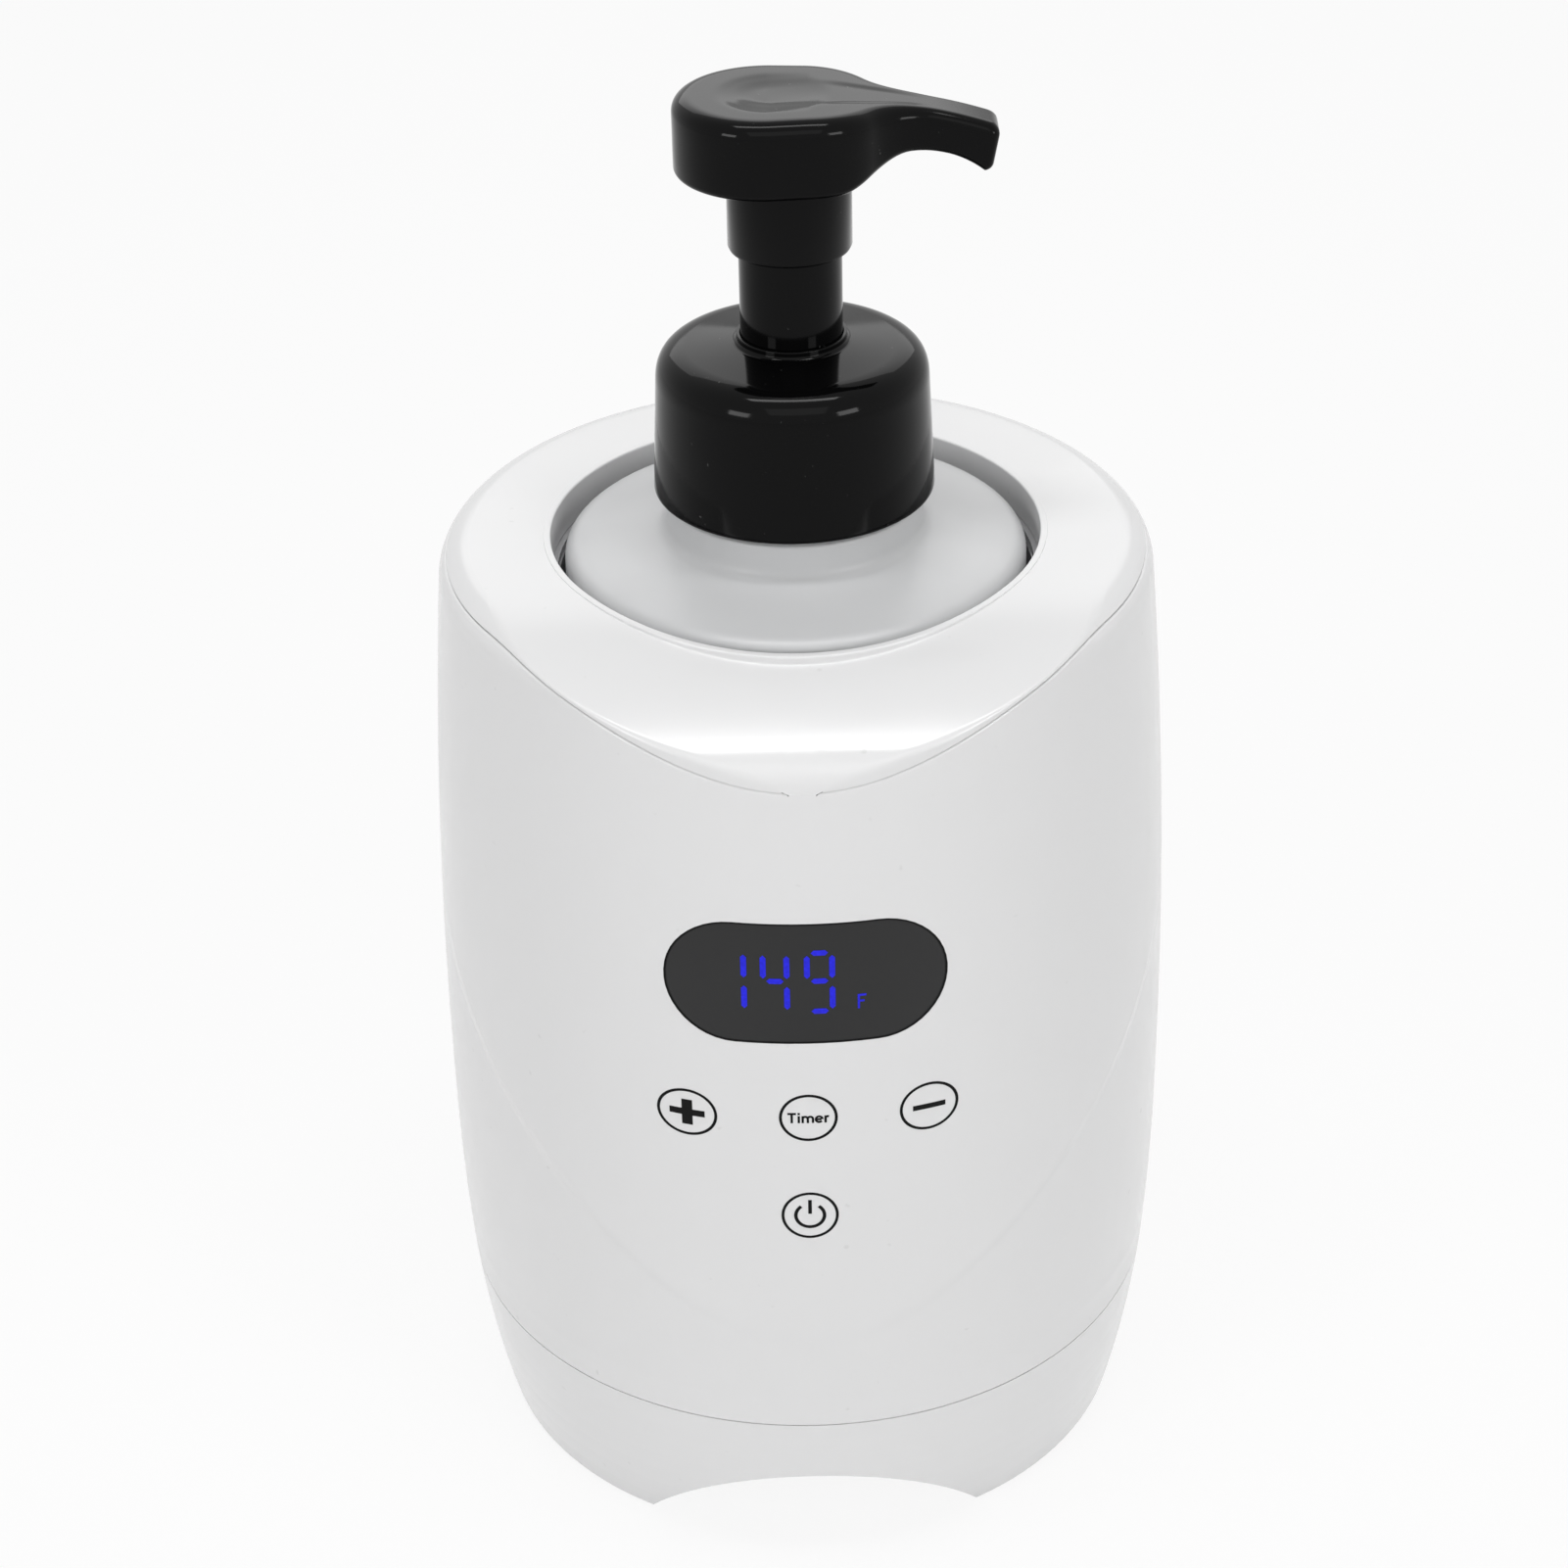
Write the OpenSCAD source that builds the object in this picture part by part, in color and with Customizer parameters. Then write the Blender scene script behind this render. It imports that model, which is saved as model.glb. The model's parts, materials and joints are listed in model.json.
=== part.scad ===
// Hot lather machine: a round countertop warmer for a foam pump bottle.
// The bottle stands in a heated well and lifts out. Its closure unscrews, and its pump head
// presses down and swivels. The front carries a display window and touch keys.
// Origin: centre of the footprint, on the surface that the feet stand on.
// +Z is up, the display faces -Y, and the nozzle points along +X.

/* [Body shape] */
// Height of the flat top surface above the table
top_z = 175.7; // [165:0.5:190]
// Width of the top from the opening to where the side's line would meet it
top_band = 18.8; // [17:0.1:20.5]
// How far the body swells out beyond that line
bulge_out = 4.7; // [3:0.1:6]
// Height of the body's largest radius
bulge_z = 76; // [60:1:95]
// How far the side draws in from its largest radius to its lower edge
foot_in = 6.4; // [4:0.1:8]
// Wall thickness of the body
wall = 2.4; // [1.8:0.1:3]
// Rounding between the side and the top surface
edge_round = 6.2; // [4:0.2:7]

/* [Sloped front of the top] */
// Length of the slope, from the front inwards
ramp_run = 40.3; // [34:0.5:44]
// Drop of the slope at the front
ramp_fall = 12.3; // [8:0.5:14]
// Rounding where the slope meets the front
ramp_round = 7.8; // [5:0.2:9]
// Thickness of the top cover
cover_t = 2.4; // [1.8:0.1:3]
// Depth of the parting line below the flat top
seam_drop = 2.3; // [1.8:0.1:3]
// Length over which the parting line slopes
seam_run = 29.9; // [26:0.5:34]
// Drop of the parting line at the front
seam_fall = 13.4; // [9:0.5:15]
// Gap that shows as the parting line
seam_gap = 0.25; // [0.15:0.05:0.4]

/* [Base] */
// Height of the parting line between body and base
base_z = 30.5; // [26:0.5:34]
// How far the rubber feet stand below the base
foot_proud = 0.5; // [0.3:0.1:1.5]
// Radius of the arch cut under the base from front to back
arch_r = 35; // [30:0.5:38]
// Height of that arch above the table
arch_h = 17; // [12:0.5:18]
// Thickness of the base floor
floor_t = 2.4; // [2:0.1:3]
// Radius of a rubber foot
foot_pad_r = 5; // [4:0.2:6]
// Thickness of a rubber foot
foot_pad_t = 1.7; // [1.5:0.1:2.5]
// Distance of the rubber feet's centres from the body's side edge, left and right
foot_pad_inset = 11.8; // [10:0.1:14]
// Front and back place of the rubber feet
foot_pad_y = 20; // [14:1:22]

/* [Base screws] */
// Distance of the screws from the body's lower edge
screw_inset = 6.3; // [5.5:0.1:8]
// Radius of the screw shank
screw_r = 1.5; // [1.2:0.1:1.8]
// Length of the screw shank
screw_len = 24; // [18:1:28]
// Radius of the screw head
screw_head_r = 2.9; // [2.5:0.1:3.2]
// Height of the screw head
screw_head_h = 2.1; // [1.6:0.1:2.4]

/* [Well] */
// Gap between the bottle and the opening in the top cover
mouth_gap = 2.3; // [1.8:0.1:3.2]
// Width of the raised lip around the opening
lip_w = 1.2; // [0.8:0.1:1.8]
// How far the lip stands above the flat top
lip_rise = 0.2; // [0.1:0.1:0.6]
// Drop of the lip at the front of the opening
lip_fall = 1.9; // [1.2:0.1:2.4]
// Depth of the collar below the flat top
throat_depth = 6.5; // [5.5:0.5:8]
// Gap between the bottle and the heated cup
cup_gap = 1.2; // [0.8:0.1:1.5]
// Wall of the heated cup
cup_t = 1.2; // [0.8:0.1:1.6]
// Room between the power board and the cup's underside
part_room = 19.2; // [18:0.2:24]
// Width of the cup's flange, out from the opening
flange_w = 6.3; // [5.8:0.1:7.5]
// Distance of the flange screws from the opening's edge
flange_screw_out = 3.9; // [3.6:0.1:4.4]
// Thickness of the sealing ring over the flange
seal_t = 1.4; // [1:0.1:2]
// Thickness of the heater mat
heater_t = 0.8; // [0.6:0.1:1.2]
// Height of the heater mat
heater_h = 72; // [50:1:85]
// Height of the heater mat's lower edge
heater_z = 62; // [58:1:70]
// Thickness of the insulating sleeve
sleeve_t = 2; // [1.5:0.1:2.4]
// Height of the sleeve's lower edge
sleeve_z = 55; // [50:1:60]
// Height of the sleeve
sleeve_h = 91; // [80:1:98]

/* [Bottle] */
// Outer radius of the bottle
bottle_r = 39.4; // [38:0.1:39.8]
// Wall of the bottle
bottle_t = 1.5; // [1.1:0.1:2]
// Depth of the bottle's shoulder edge below the flat top
shoulder_drop = 1.9; // [0.5:0.1:5]
// Rounding of the shoulder edge
shoulder_round = 2.4; // [1.5:0.1:4]
// Rise of the shoulder from its edge to the neck
shoulder_rise = 3; // [1.5:0.1:4.5]
// Rounding at the bottle's bottom edge
heel_round = 5; // [3:0.5:8]
// Height of the neck that shows under the closure
neck_show = 7.2; // [5:0.1:9]
// How far the neck ring stands out beyond the closure's bore
neck_ring_out = 0.4; // [0.2:0.1:1]
// Wall of the threaded neck
neck_t = 1.6; // [1.2:0.1:2]
// Height of the neck inside the closure
neck_rise = 14; // [12:0.5:15.5]
// Gap between the bottle and the cup floor
seat_gap = 0.2; // [0.1:0.05:0.3]

/* [Closure] */
// Room for the thread between the neck and the closure's skirt
thread_gap = 1.7; // [1.4:0.1:2]
// Wall of the closure at its lower edge
cap_wall = 2.35; // [1.9:0.05:3]
// How much narrower the closure is at its shoulder
cap_taper = 1.15; // [0.5:0.05:1.4]
// Height of the closure's side, up to its shoulder
cap_side_h = 25; // [23:0.5:28]
// Rounding of the closure's shoulder
cap_round = 5; // [3:0.2:6]
// Rise of the closure's top from its shoulder to the guide ring
dome_rise = 1.3; // [0.5:0.1:2.5]
// Height of the guide ring around the stem
guide_rise = 1.4; // [1:0.1:2.4]
// Wall of the guide ring
guide_t = 0.7; // [0.6:0.1:1.2]

/* [Pump] */
// Outer radius of the pump stem
stem_r = 8.5; // [8.3:0.1:9.3]
// Running clearance of sliding round parts
run_gap = 0.08; // [0.04:0.01:0.1]
// Wall of the pump stem
stem_t = 1.9; // [1.4:0.1:2.4]
// Stroke of the pump
stroke = 13.5; // [10:0.5:14]
// Inner radius of the air cylinder
air_r = 16.4; // [15.5:0.1:16.6]
// Wall of the pump housing
pump_t = 1.2; // [1:0.1:1.4]
// Depth of the air cylinder below the neck's rim
air_depth = 42; // [38:1:48]
// Inner radius of the liquid cylinder
liquid_r = 5.5; // [5:0.1:6]
// Depth of the spring seat below the neck's rim
spring_depth = 84; // [78:1:90]
// Length of the return spring at rest
spring_h = 28; // [24:0.5:34]
// Radius of the valve ball
ball_r = 2.5; // [2.2:0.1:2.8]
// Outer radius of the dip tube
tube_r = 3.6; // [3:0.1:4]
// Wall of the dip tube
tube_t = 0.9; // [0.6:0.1:1.2]
// Gap between the dip tube and the bottle's floor
tube_gap = 4; // [2:0.5:8]
// Wire radius of the return spring
spring_wire_r = 0.45; // [0.3:0.05:0.55]
// Number of turns of the return spring
spring_turns = 8; // [5:1:10]

/* [Pump head] */
// Gap left between the head and the closure when the pump is pressed down
head_gap = 1.3; // [0.5:0.1:3]
// Radius of the head's thumb pad
pad_r = 15.1; // [14:0.1:16]
// Offset of the thumb pad from the axis, away from the nozzle
pad_shift = 3.5; // [2:0.1:4]
// Height of the thumb pad
pad_h = 12.8; // [11.5:0.1:13.2]
// Radius of the thumb pad's second disc, from which the nozzle springs
pad_front_r = 14.6; // [13.5:0.1:15]
// Offset of that second disc from the axis, towards the nozzle
pad_front_shift = 2; // [1:0.1:3]
// Rounding of the thumb pad's upper edge
pad_round = 2.6; // [1.5:0.1:3.5]
// Wall of the collar under the thumb pad
collar_t = 1.7; // [1.2:0.1:2.4]
// Height of that collar
collar_h = 13.3; // [11:0.1:15]
// Reach of the nozzle from the axis
nozzle_reach = 34; // [30:0.5:38]
// Width of the nozzle
nozzle_w = 8.4; // [7.6:0.1:9.6]
// Height of the nozzle's end
nozzle_h = 7.4; // [6.8:0.1:8]
// Drop of the nozzle's end below the head's top
nozzle_fall = 5.2; // [4.4:0.1:6]
// Radius of the foam outlet
outlet_r = 1.6; // [1.3:0.1:1.8]
// Fall of the foam channel towards the tip
channel_tilt = 10; // [8:0.5:12]
// Radius of the dish in the thumb pad
dish_r = 8.5; // [6:0.1:10]
// Depth of that dish
dish_depth = 0.7; // [0.4:0.1:1]

/* [Display and keys] */
// Width of the display window
window_w = 46.5; // [44:0.5:50]
// Height of the display window
window_h = 22.8; // [20:0.2:25]
// Depth of the window's centre below the flat top
window_drop = 50.9; // [48:0.1:55]
// Gap around the window lens
window_gap = 0.15; // [0.1:0.05:0.25]
// Distance from the middle key to the outer keys
key_pitch = 20.2; // [18:0.2:22]
// Drop from the window's centre to the row of three keys
key_row_drop = 26.3; // [23:0.1:30]
// Drop from that row to the lower key
key_low_drop = 20.1; // [17:0.1:23]
// Radius of a key's sensing pad
key_pad_r = 4.2; // [3:0.1:4.6]

/* [Electronics] */
// Thickness of the circuit boards
board_t = 1.6; // [1.2:0.1:2]
// Length of the power board, left to right
power_w = 66; // [60:1:68]
// Depth of the power board, front to back
power_d = 56; // [50:1:60]
// Height of the power board's underside
power_z = 24; // [23:0.5:25]
// Width of the control board
control_w = 54; // [50:1:56]
// Height of the control board
control_h = 74; // [70:1:76]
// How far the control board reaches below the lower key
control_below = 8.4; // [6:0.2:12]
// Distance of the control board's front face from the insulating sleeve
control_room = 3.4; // [3.2:0.1:4.5]
// Gap between the display module and the lens, at the module's corners
lens_room = 2; // [1:0.1:3]
// Length of the transformer
transformer_w = 20; // [16:1:22]
// Depth of the transformer
transformer_d = 16; // [12:1:18]
// Height of the transformer
transformer_h = 16; // [12:0.5:17]
// Radius of the large capacitor
big_cap_r = 5; // [4:0.5:6]
// Height of the large capacitor
big_cap_h = 15; // [12:0.5:16]
// Radius of the small capacitor
small_cap_r = 4; // [3:0.5:5]
// Height of the small capacitor
small_cap_h = 12; // [10:0.5:14]
// Length of the relay
relay_w = 19; // [15:0.5:20]
// Depth of the relay
relay_d = 12; // [10:0.5:13]
// Height of the relay
relay_h = 13; // [10:0.5:14]
// Length of the terminal block
block_w = 20; // [16:0.5:22]
// Depth of the terminal block
block_d = 8; // [7:0.5:9]
// Height of the terminal block
block_h = 9; // [8:0.5:10]
// Width of the mains inlet
inlet_w = 20; // [18:0.5:22]
// Height of the mains inlet
inlet_h = 10; // [9:0.2:11]
// Depth of the mains inlet
inlet_d = 19; // [16:0.5:20]
// Height of the mains inlet's centre
inlet_z = 38.5; // [37.5:0.1:39]

/* [Hidden] */
$fn = 96;

WHITE = [0.93, 0.93, 0.93];
BLACK = [0.06, 0.06, 0.065];
MILKY = [0.82, 0.83, 0.84];

eps = 0.01;
skim = 0.05;                                // keeps the slope's cut clear of the flat top
far = 200;                                  // longer than the part, for cutting shapes

// ---- Radii, from the bottle and the pump outwards ----
cup_r = bottle_r + cup_gap;
mouth_r = bottle_r + mouth_gap;
crown_r = mouth_r + top_band;
bulge_r = crown_r + bulge_out;
foot_r = bulge_r - foot_in;
screw_ring_r = foot_r - screw_inset;
foot_pad_x = foot_r - foot_pad_inset;
flange_r = mouth_r + flange_w;
flange_screw_r = mouth_r + flange_screw_out;
inner_neck_r = air_r + pump_t + 0.5;        // bore of the bottle's neck
neck_r = inner_neck_r + neck_t;
cap_bore_r = neck_r + thread_gap;
neck_ring_r = cap_bore_r + neck_ring_out;
cap_r = cap_bore_r + cap_wall;
cap_top_r = cap_r - cap_taper;
stem_bore_r = stem_r - stem_t;
collar_r = stem_r + collar_t;

// ---- Heights ----
power_top = power_z + board_t;
cup_floor_z = power_top + part_room + cup_t;
shoulder_z = top_z - shoulder_drop;
neck_base_z = shoulder_z + shoulder_rise;
cap_z = neck_base_z + neck_show;
neck_top_z = cap_z + neck_rise;
spring_seat_z = neck_top_z - spring_depth;
cap_shoulder_z = cap_z + cap_side_h;
cap_dome_z = cap_shoulder_z + dome_rise;
guide_z = cap_dome_z + guide_rise;
collar_z = guide_z + stroke + head_gap;
head_low_z = collar_z + collar_h;
head_top_z = head_low_z + pad_h;
nozzle_top_z = head_top_z - nozzle_fall;
window_z = top_z - window_drop;
key_row_z = window_z - key_row_drop;
key_low_z = key_row_z - key_low_drop;
control_z = key_low_z - control_below;

// ---- Slope, parting line and lip ----
front_r = body_r(top_z - ramp_fall);        // body radius where the slope reaches the front
rim_z = foot_proud;                         // lower edge of the base
ramp_r = arc_radius(ramp_run, ramp_fall);
ramp_start_y = ramp_run - front_r;
seam_r = arc_radius(seam_run, seam_fall);
seam_start_y = seam_run - front_r;
seam_flat_z = top_z - seam_drop;
lip_start_y = ramp_start_y;
lip_r = arc_radius(mouth_r + lip_start_y, lip_fall);
throat_z = top_z - throat_depth;
flange_top_z = throat_z - seal_t;
arch_center_z = arch_h - arch_r;

tongue_t = 1.4;
tongue_h = 4;
tongue_gap = 0.15;

// ---- Body outline ----
// Radius of an arc that starts level and falls by fall over the length run
function arc_radius(run, fall) = (run * run + fall * fall) / (2 * fall);

// Outer radius of the body at height z, without the rounded top edge
function body_r(z) = z < bulge_z
    ? bulge_r - (bulge_r - foot_r) * pow((bulge_z - z) / bulge_z, 3)
    : bulge_r - (bulge_r - crown_r) * pow((z - bulge_z) / (top_z - bulge_z), 2);

edge_lean = atan(2 * (bulge_r - crown_r) * (top_z - edge_round - bulge_z) / pow(top_z - bulge_z, 2));
edge_z = top_z - edge_round * (1 - sin(edge_lean));
edge_center_r = body_r(edge_z) - edge_round * cos(edge_lean);
edge_center_z = top_z - edge_round;

// Side outline from the table to the top, with the rounded edge, set in by inset
function side_points(inset) = concat(
    [for (i = [0:40]) let (z = edge_z * i / 40) [body_r(z) - inset, z]],
    [for (a = [edge_lean + 5:7:89]) [edge_center_r + (edge_round - inset) * cos(a),
                                     edge_center_z + (edge_round - inset) * sin(a)]]);

module barrel(inset = 0) {
    rotate_extrude($fn = 180)
        polygon(concat([[0, 0]], side_points(inset),
                       [[edge_center_r, top_z - inset], [0, top_z - inset]]));
}

// A flat outline in the Y-Z plane, drawn out along X
module along_x(width = far) {
    rotate([90, 0, 90])
        linear_extrude(height = width, center = true)
            children();
}

// Region under a level line that turns into a falling arc towards the front
module under_curve(flat_z, start_y, radius, reach_z) {
    translate([start_y, -far])
        square([far, far + flat_z]);
    translate([start_y - far, -far])
        square([far + eps, far + reach_z]);
    intersection() {
        translate([start_y, flat_z - radius])
            circle(r = radius, $fn = 360);
        translate([start_y - far, reach_z - eps])
            square([far + eps, far]);
    }
}

// Region under the top surface, with its rounded front, lowered by drop
module under_top(drop = 0) {
    radius = ramp_r - drop;
    nose = ramp_round - drop;
    center_z = top_z + skim - ramp_r;
    front_y = -front_r - 0.3 + drop;
    nose_y = front_y + nose;
    nose_z = center_z + sqrt(pow(radius - nose, 2) - pow(nose_y - ramp_start_y, 2));
    way = [nose_y - ramp_start_y, nose_z - center_z] * 1.5;
    translate([ramp_start_y, -far])
        square([far, far + top_z + skim - drop]);
    intersection() {
        translate([ramp_start_y, center_z])
            circle(r = radius, $fn = 360);
        polygon([[ramp_start_y + eps, center_z], [ramp_start_y, center_z] + way,
                 [ramp_start_y + eps, center_z + 2 * ramp_r]]);
    }
    translate([nose_y, nose_z])
        circle(r = nose, $fn = 180);
    polygon([[ramp_start_y + eps, -far], [front_y, -far], [front_y, nose_z], [nose_y, nose_z],
             [ramp_start_y + eps, center_z]]);
}

// Everything below the upper parting surface, lowered by drop
module below_seam(drop = 0) {
    along_x()
        under_curve(seam_flat_z - drop, seam_start_y, seam_r, seam_flat_z - seam_fall - 4 - drop);
}

module slab(low_z, high_z) {
    translate([-far / 2, -far / 2, low_z])
        cube([far, far, high_z - low_z]);
}

module ring(outer, inner, low_z, high_z) {
    translate([0, 0, low_z])
        difference() {
            cylinder(r = outer, h = high_z - low_z);
            translate([0, 0, -1])
                cylinder(r = inner, h = high_z - low_z + 2);
        }
}

// Four copies, a quarter turn apart, starting at 45 degrees
module four_corners(radius) {
    for (a = [45:90:315])
        rotate([0, 0, a])
            translate([radius, 0, 0])
                children();
}

// A rounded bar shape seen from the front, drawn along Y
module stadium_y(width, height, front_y, depth) {
    end_r = height / 2;
    translate([0, front_y, 0])
        rotate([-90, 0, 0])
            linear_extrude(height = depth) {
                square([width - 2 * end_r, height], center = true);
                translate([end_r - width / 2, 0])
                    circle(r = end_r);
                translate([width / 2 - end_r, 0])
                    circle(r = end_r);
            }
}

// ---- Casing ----
boss_r = 3.4;
boss_z = base_z + 0.4;
boss_top_z = base_z + 20;
tower_r = 4.6;
ledge_z = 20;                               // seat of the base screws' heads
control_boss_x = control_w / 2 - 4;
control_boss_z = [control_z + 5, control_z + control_h - 5];
shelf_r = 2.8;

rim_bore_r = edge_center_r + 2.9;           // inside of the shell's upper rim

module body_shell() {
    color(WHITE)
        difference() {
            union() {
                difference() {
                    intersection() {
                        barrel();
                        below_seam(seam_gap);
                        slab(base_z, top_z);
                    }
                    shell_void();
                }
                intersection() {
                    barrel(wall - 0.5);
                    union() {
                        four_corners(screw_ring_r)
                            screw_boss();
                        control_bosses();
                    }
                }
            }
            four_corners(screw_ring_r)
                translate([0, 0, boss_z - 1])
                    cylinder(r = screw_r + 0.05, h = boss_top_z - boss_z - 1);
            control_pilots();
            translate([0, 0, window_z])
                stadium_y(window_w, window_h, -far / 2, far / 2 - 30);
            inlet_cutout();
        }
}

// Inside of the shell, straight at the upper rim
module shell_void() {
    rotate_extrude($fn = 180)
        polygon(concat([[0, 0]],
            [for (i = [0:40]) let (z = (edge_z - 9) * i / 40) [body_r(z) - wall, z]],
            [[rim_bore_r, edge_z - 5], [rim_bore_r, far], [0, far]]));
}

module screw_boss() {
    translate([0, 0, boss_z])
        cylinder(r = boss_r, h = boss_top_z - boss_z);
    translate([0, -0.8, base_z + tongue_h + 0.8])
        cube([far / 2, 1.6, boss_top_z - base_z - tongue_h - 0.8]);
}

module control_bosses() {
    for (x = [-control_boss_x, control_boss_x], z = control_boss_z)
        translate([x, -control_y, z])
            rotate([90, 0, 0])
                cylinder(r = shelf_r, h = 20);
}

module control_pilots() {
    for (x = [-control_boss_x, control_boss_x], z = control_boss_z)
        translate([x, -control_y + 1, z])
            rotate([90, 0, 0])
                cylinder(r = control_screw_r + 0.05, h = control_screw_len);
}

module inlet_cutout() {
    translate([0, 0, inlet_z])
        stadium_y(inlet_w + 0.3, inlet_h + 0.3, 30, far / 2);
}

module top_cover() {
    color(WHITE)
        difference() {
            union() {
                difference() {
                    intersection() {
                        barrel();
                        along_x()
                            difference() {
                                under_top();
                                under_curve(seam_flat_z, seam_start_y, seam_r,
                                            seam_flat_z - seam_fall - 4);
                            }
                    }
                    intersection() {
                        barrel(wall);
                        along_x()
                            under_top(cover_t);
                    }
                }
                intersection() {
                    ring(mouth_r + lip_w, mouth_r - 1, top_z - 5, top_z + 1);
                    along_x()
                        under_curve(top_z + lip_rise, lip_start_y, lip_r, top_z - 3 * lip_fall);
                }
                cover_fittings();
            }
            translate([0, 0, throat_z - 1])
                cylinder(r = mouth_r, h = far);
            four_corners(flange_screw_r)
                translate([0, 0, flange_top_z])
                    cylinder(r = flange_pin_r + 0.05, h = flange_pin_len - flange_t);
        }
}

// Collar around the opening, locating skirt inside the shell's rim, and screw bosses
module cover_fittings() {
    intersection() {
        union() {
            ring(mouth_r + lip_w + 1, mouth_r - 1, throat_z, top_z);
            ring(rim_bore_r - tongue_gap, rim_bore_r - tongue_gap - tongue_t, edge_z - 4, top_z);
            cover_bosses();
        }
        along_x()
            under_top(cover_t / 2);
    }
}

// Bosses under the cover that take the flange screws
module cover_bosses() {
    four_corners(flange_screw_r)
        translate([0, 0, throat_z])
            cylinder(r = 3, h = throat_depth);
}

vault_t = 2.4;

module base() {
    color(WHITE)
        difference() {
            union() {
                difference() {
                    intersection() {
                        barrel();
                        slab(rim_z, base_z - seam_gap);
                    }
                    difference() {
                        intersection() {
                            barrel(wall);
                            slab(rim_z + floor_t, base_z);
                        }
                        vault(arch_r + vault_t);
                    }
                }
                difference() {
                    intersection() {
                        barrel(wall - 0.3);
                        slab(base_z - 4, base_z - seam_gap);
                    }
                    barrel(wall + tongue_gap + tongue_t);
                }
                difference() {
                    intersection() {
                        barrel(wall + tongue_gap);
                        slab(base_z - 4, base_z + tongue_h);
                    }
                    barrel(wall + tongue_gap + tongue_t);
                    inlet_notch();
                }
                four_corners(screw_ring_r)
                    translate([0, 0, rim_z])
                        cylinder(r = tower_r, h = base_z - rim_z);
                board_posts();
                cup_posts();
            }
            vault(arch_r);
            four_corners(screw_ring_r)
                screw_recess();
            four_corners_xy(foot_pad_x, foot_pad_y)
                translate([0, 0, -1])
                    cylinder(r = foot_pad_r + 0.1, h = foot_pad_t + 1);
            board_pilots();
        }
}

// A barrel vault from front to back
module vault(radius) {
    translate([0, 0, arch_center_z])
        rotate([90, 0, 0])
            cylinder(r = radius, h = far, center = true, $fn = 180);
}

// Room in the tongue for the mains inlet
module inlet_notch() {
    translate([-inlet_w / 2 - 3, 0, base_z])
        cube([inlet_w + 6, far / 2, 10]);
}

module screw_recess() {
    translate([0, 0, -1])
        cylinder(r = screw_head_r + 0.5, h = ledge_z + 1);
    translate([0, 0, ledge_z - 1])
        cylinder(r = screw_r + 0.25, h = base_z - ledge_z + 2);
}

module four_corners_xy(x, y) {
    for (sx = [-1, 1], sy = [-1, 1])
        translate([sx * x, sy * y, 0])
            children();
}

board_post_x = power_w / 2 - 4;
board_post_y = power_d / 2 - 4;
cup_post_r = 2.6;
cup_post_ring = cup_r - 3;

module board_posts() {
    four_corners_xy(board_post_x, board_post_y)
        translate([0, 0, 2])
            cylinder(r = 3, h = power_z - 2);
}

module board_pilots() {
    four_corners_xy(board_post_x, board_post_y)
        translate([0, 0, power_z - board_screw_len + 0.6])
            cylinder(r = board_screw_r + 0.05, h = board_screw_len);
}

// Posts that carry the floor of the cup
module cup_posts() {
    for (a = [0:60:300])
        rotate([0, 0, a])
            translate([cup_post_ring, 0, 2])
                cylinder(r = cup_post_r, h = cup_floor_z - cup_t - seat_gap - 2);
}

module rubber_feet() {
    color([0.1, 0.1, 0.1])
        four_corners_xy(foot_pad_x, foot_pad_y)
            rotate_extrude()
                polygon([[0, 0], [foot_pad_r - 0.5, 0], [foot_pad_r, 0.5],
                         [foot_pad_r, foot_pad_t], [0, foot_pad_t]]);
}

module base_screws() {
    color("silver")
        four_corners(screw_ring_r)
            translate([0, 0, ledge_z])
                pan_screw(screw_r, screw_len, screw_head_r, screw_head_h);
}

// Screw whose head seats at z = 0 from below and whose shank points up
module pan_screw(shank_r, shank_len, head_r, head_h) {
    difference() {
        union() {
            translate([0, 0, -head_h])
                cylinder(r = head_r, h = head_h);
            translate([0, 0, -eps])
                cylinder(r = shank_r, h = shank_len);
        }
        for (a = [0, 90])
            translate([0, 0, -head_h])
                rotate([0, 0, a])
                    cube([head_r * 1.2, 0.6, head_h], center = true);
    }
}

// ---- Heated well ----
flange_t = 1.2;
flange_pin_r = 1.2;
flange_pin_len = 5.6;

module well_cup() {
    outer = cup_r + cup_t;
    color([0.78, 0.78, 0.8])
        difference() {
            union() {
                rotate_extrude($fn = 180)
                    polygon([[0, cup_floor_z - cup_t], [outer - 3, cup_floor_z - cup_t],
                             [outer - 0.9, cup_floor_z - cup_t + 0.9],
                             [outer, cup_floor_z - cup_t + 3], [outer, flange_top_z - flange_t],
                             [flange_r, flange_top_z - flange_t], [flange_r, flange_top_z],
                             [cup_r, flange_top_z], [cup_r, cup_floor_z + 2.4],
                             [cup_r - 0.8, cup_floor_z + 0.8], [cup_r - 2.4, cup_floor_z],
                             [0, cup_floor_z]]);
            }
            four_corners(flange_screw_r)
                translate([0, 0, flange_top_z - flange_t - 1])
                    cylinder(r = flange_pin_r + 0.2, h = flange_t + 2);
        }
}

module well_seal() {
    color([0.75, 0.75, 0.76])
        ring(mouth_r + lip_w + 1, cup_r + 0.2, flange_top_z, throat_z);
}

module flange_screws() {
    color("silver")
        four_corners(flange_screw_r)
            translate([0, 0, flange_top_z - flange_t])
                pan_screw(flange_pin_r, flange_pin_len - 0.5, 2.3, 1.5);
}

heater_in = cup_r + cup_t + 0.02;
heater_out = heater_in + heater_t;

module heater_mat() {
    color([0.75, 0.35, 0.15])
        difference() {
            ring(heater_out, heater_in, heater_z, heater_z + heater_h);
            translate([-3, 0, heater_z - 1])
                cube([6, far / 2, heater_h + 2]);
        }
}

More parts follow.
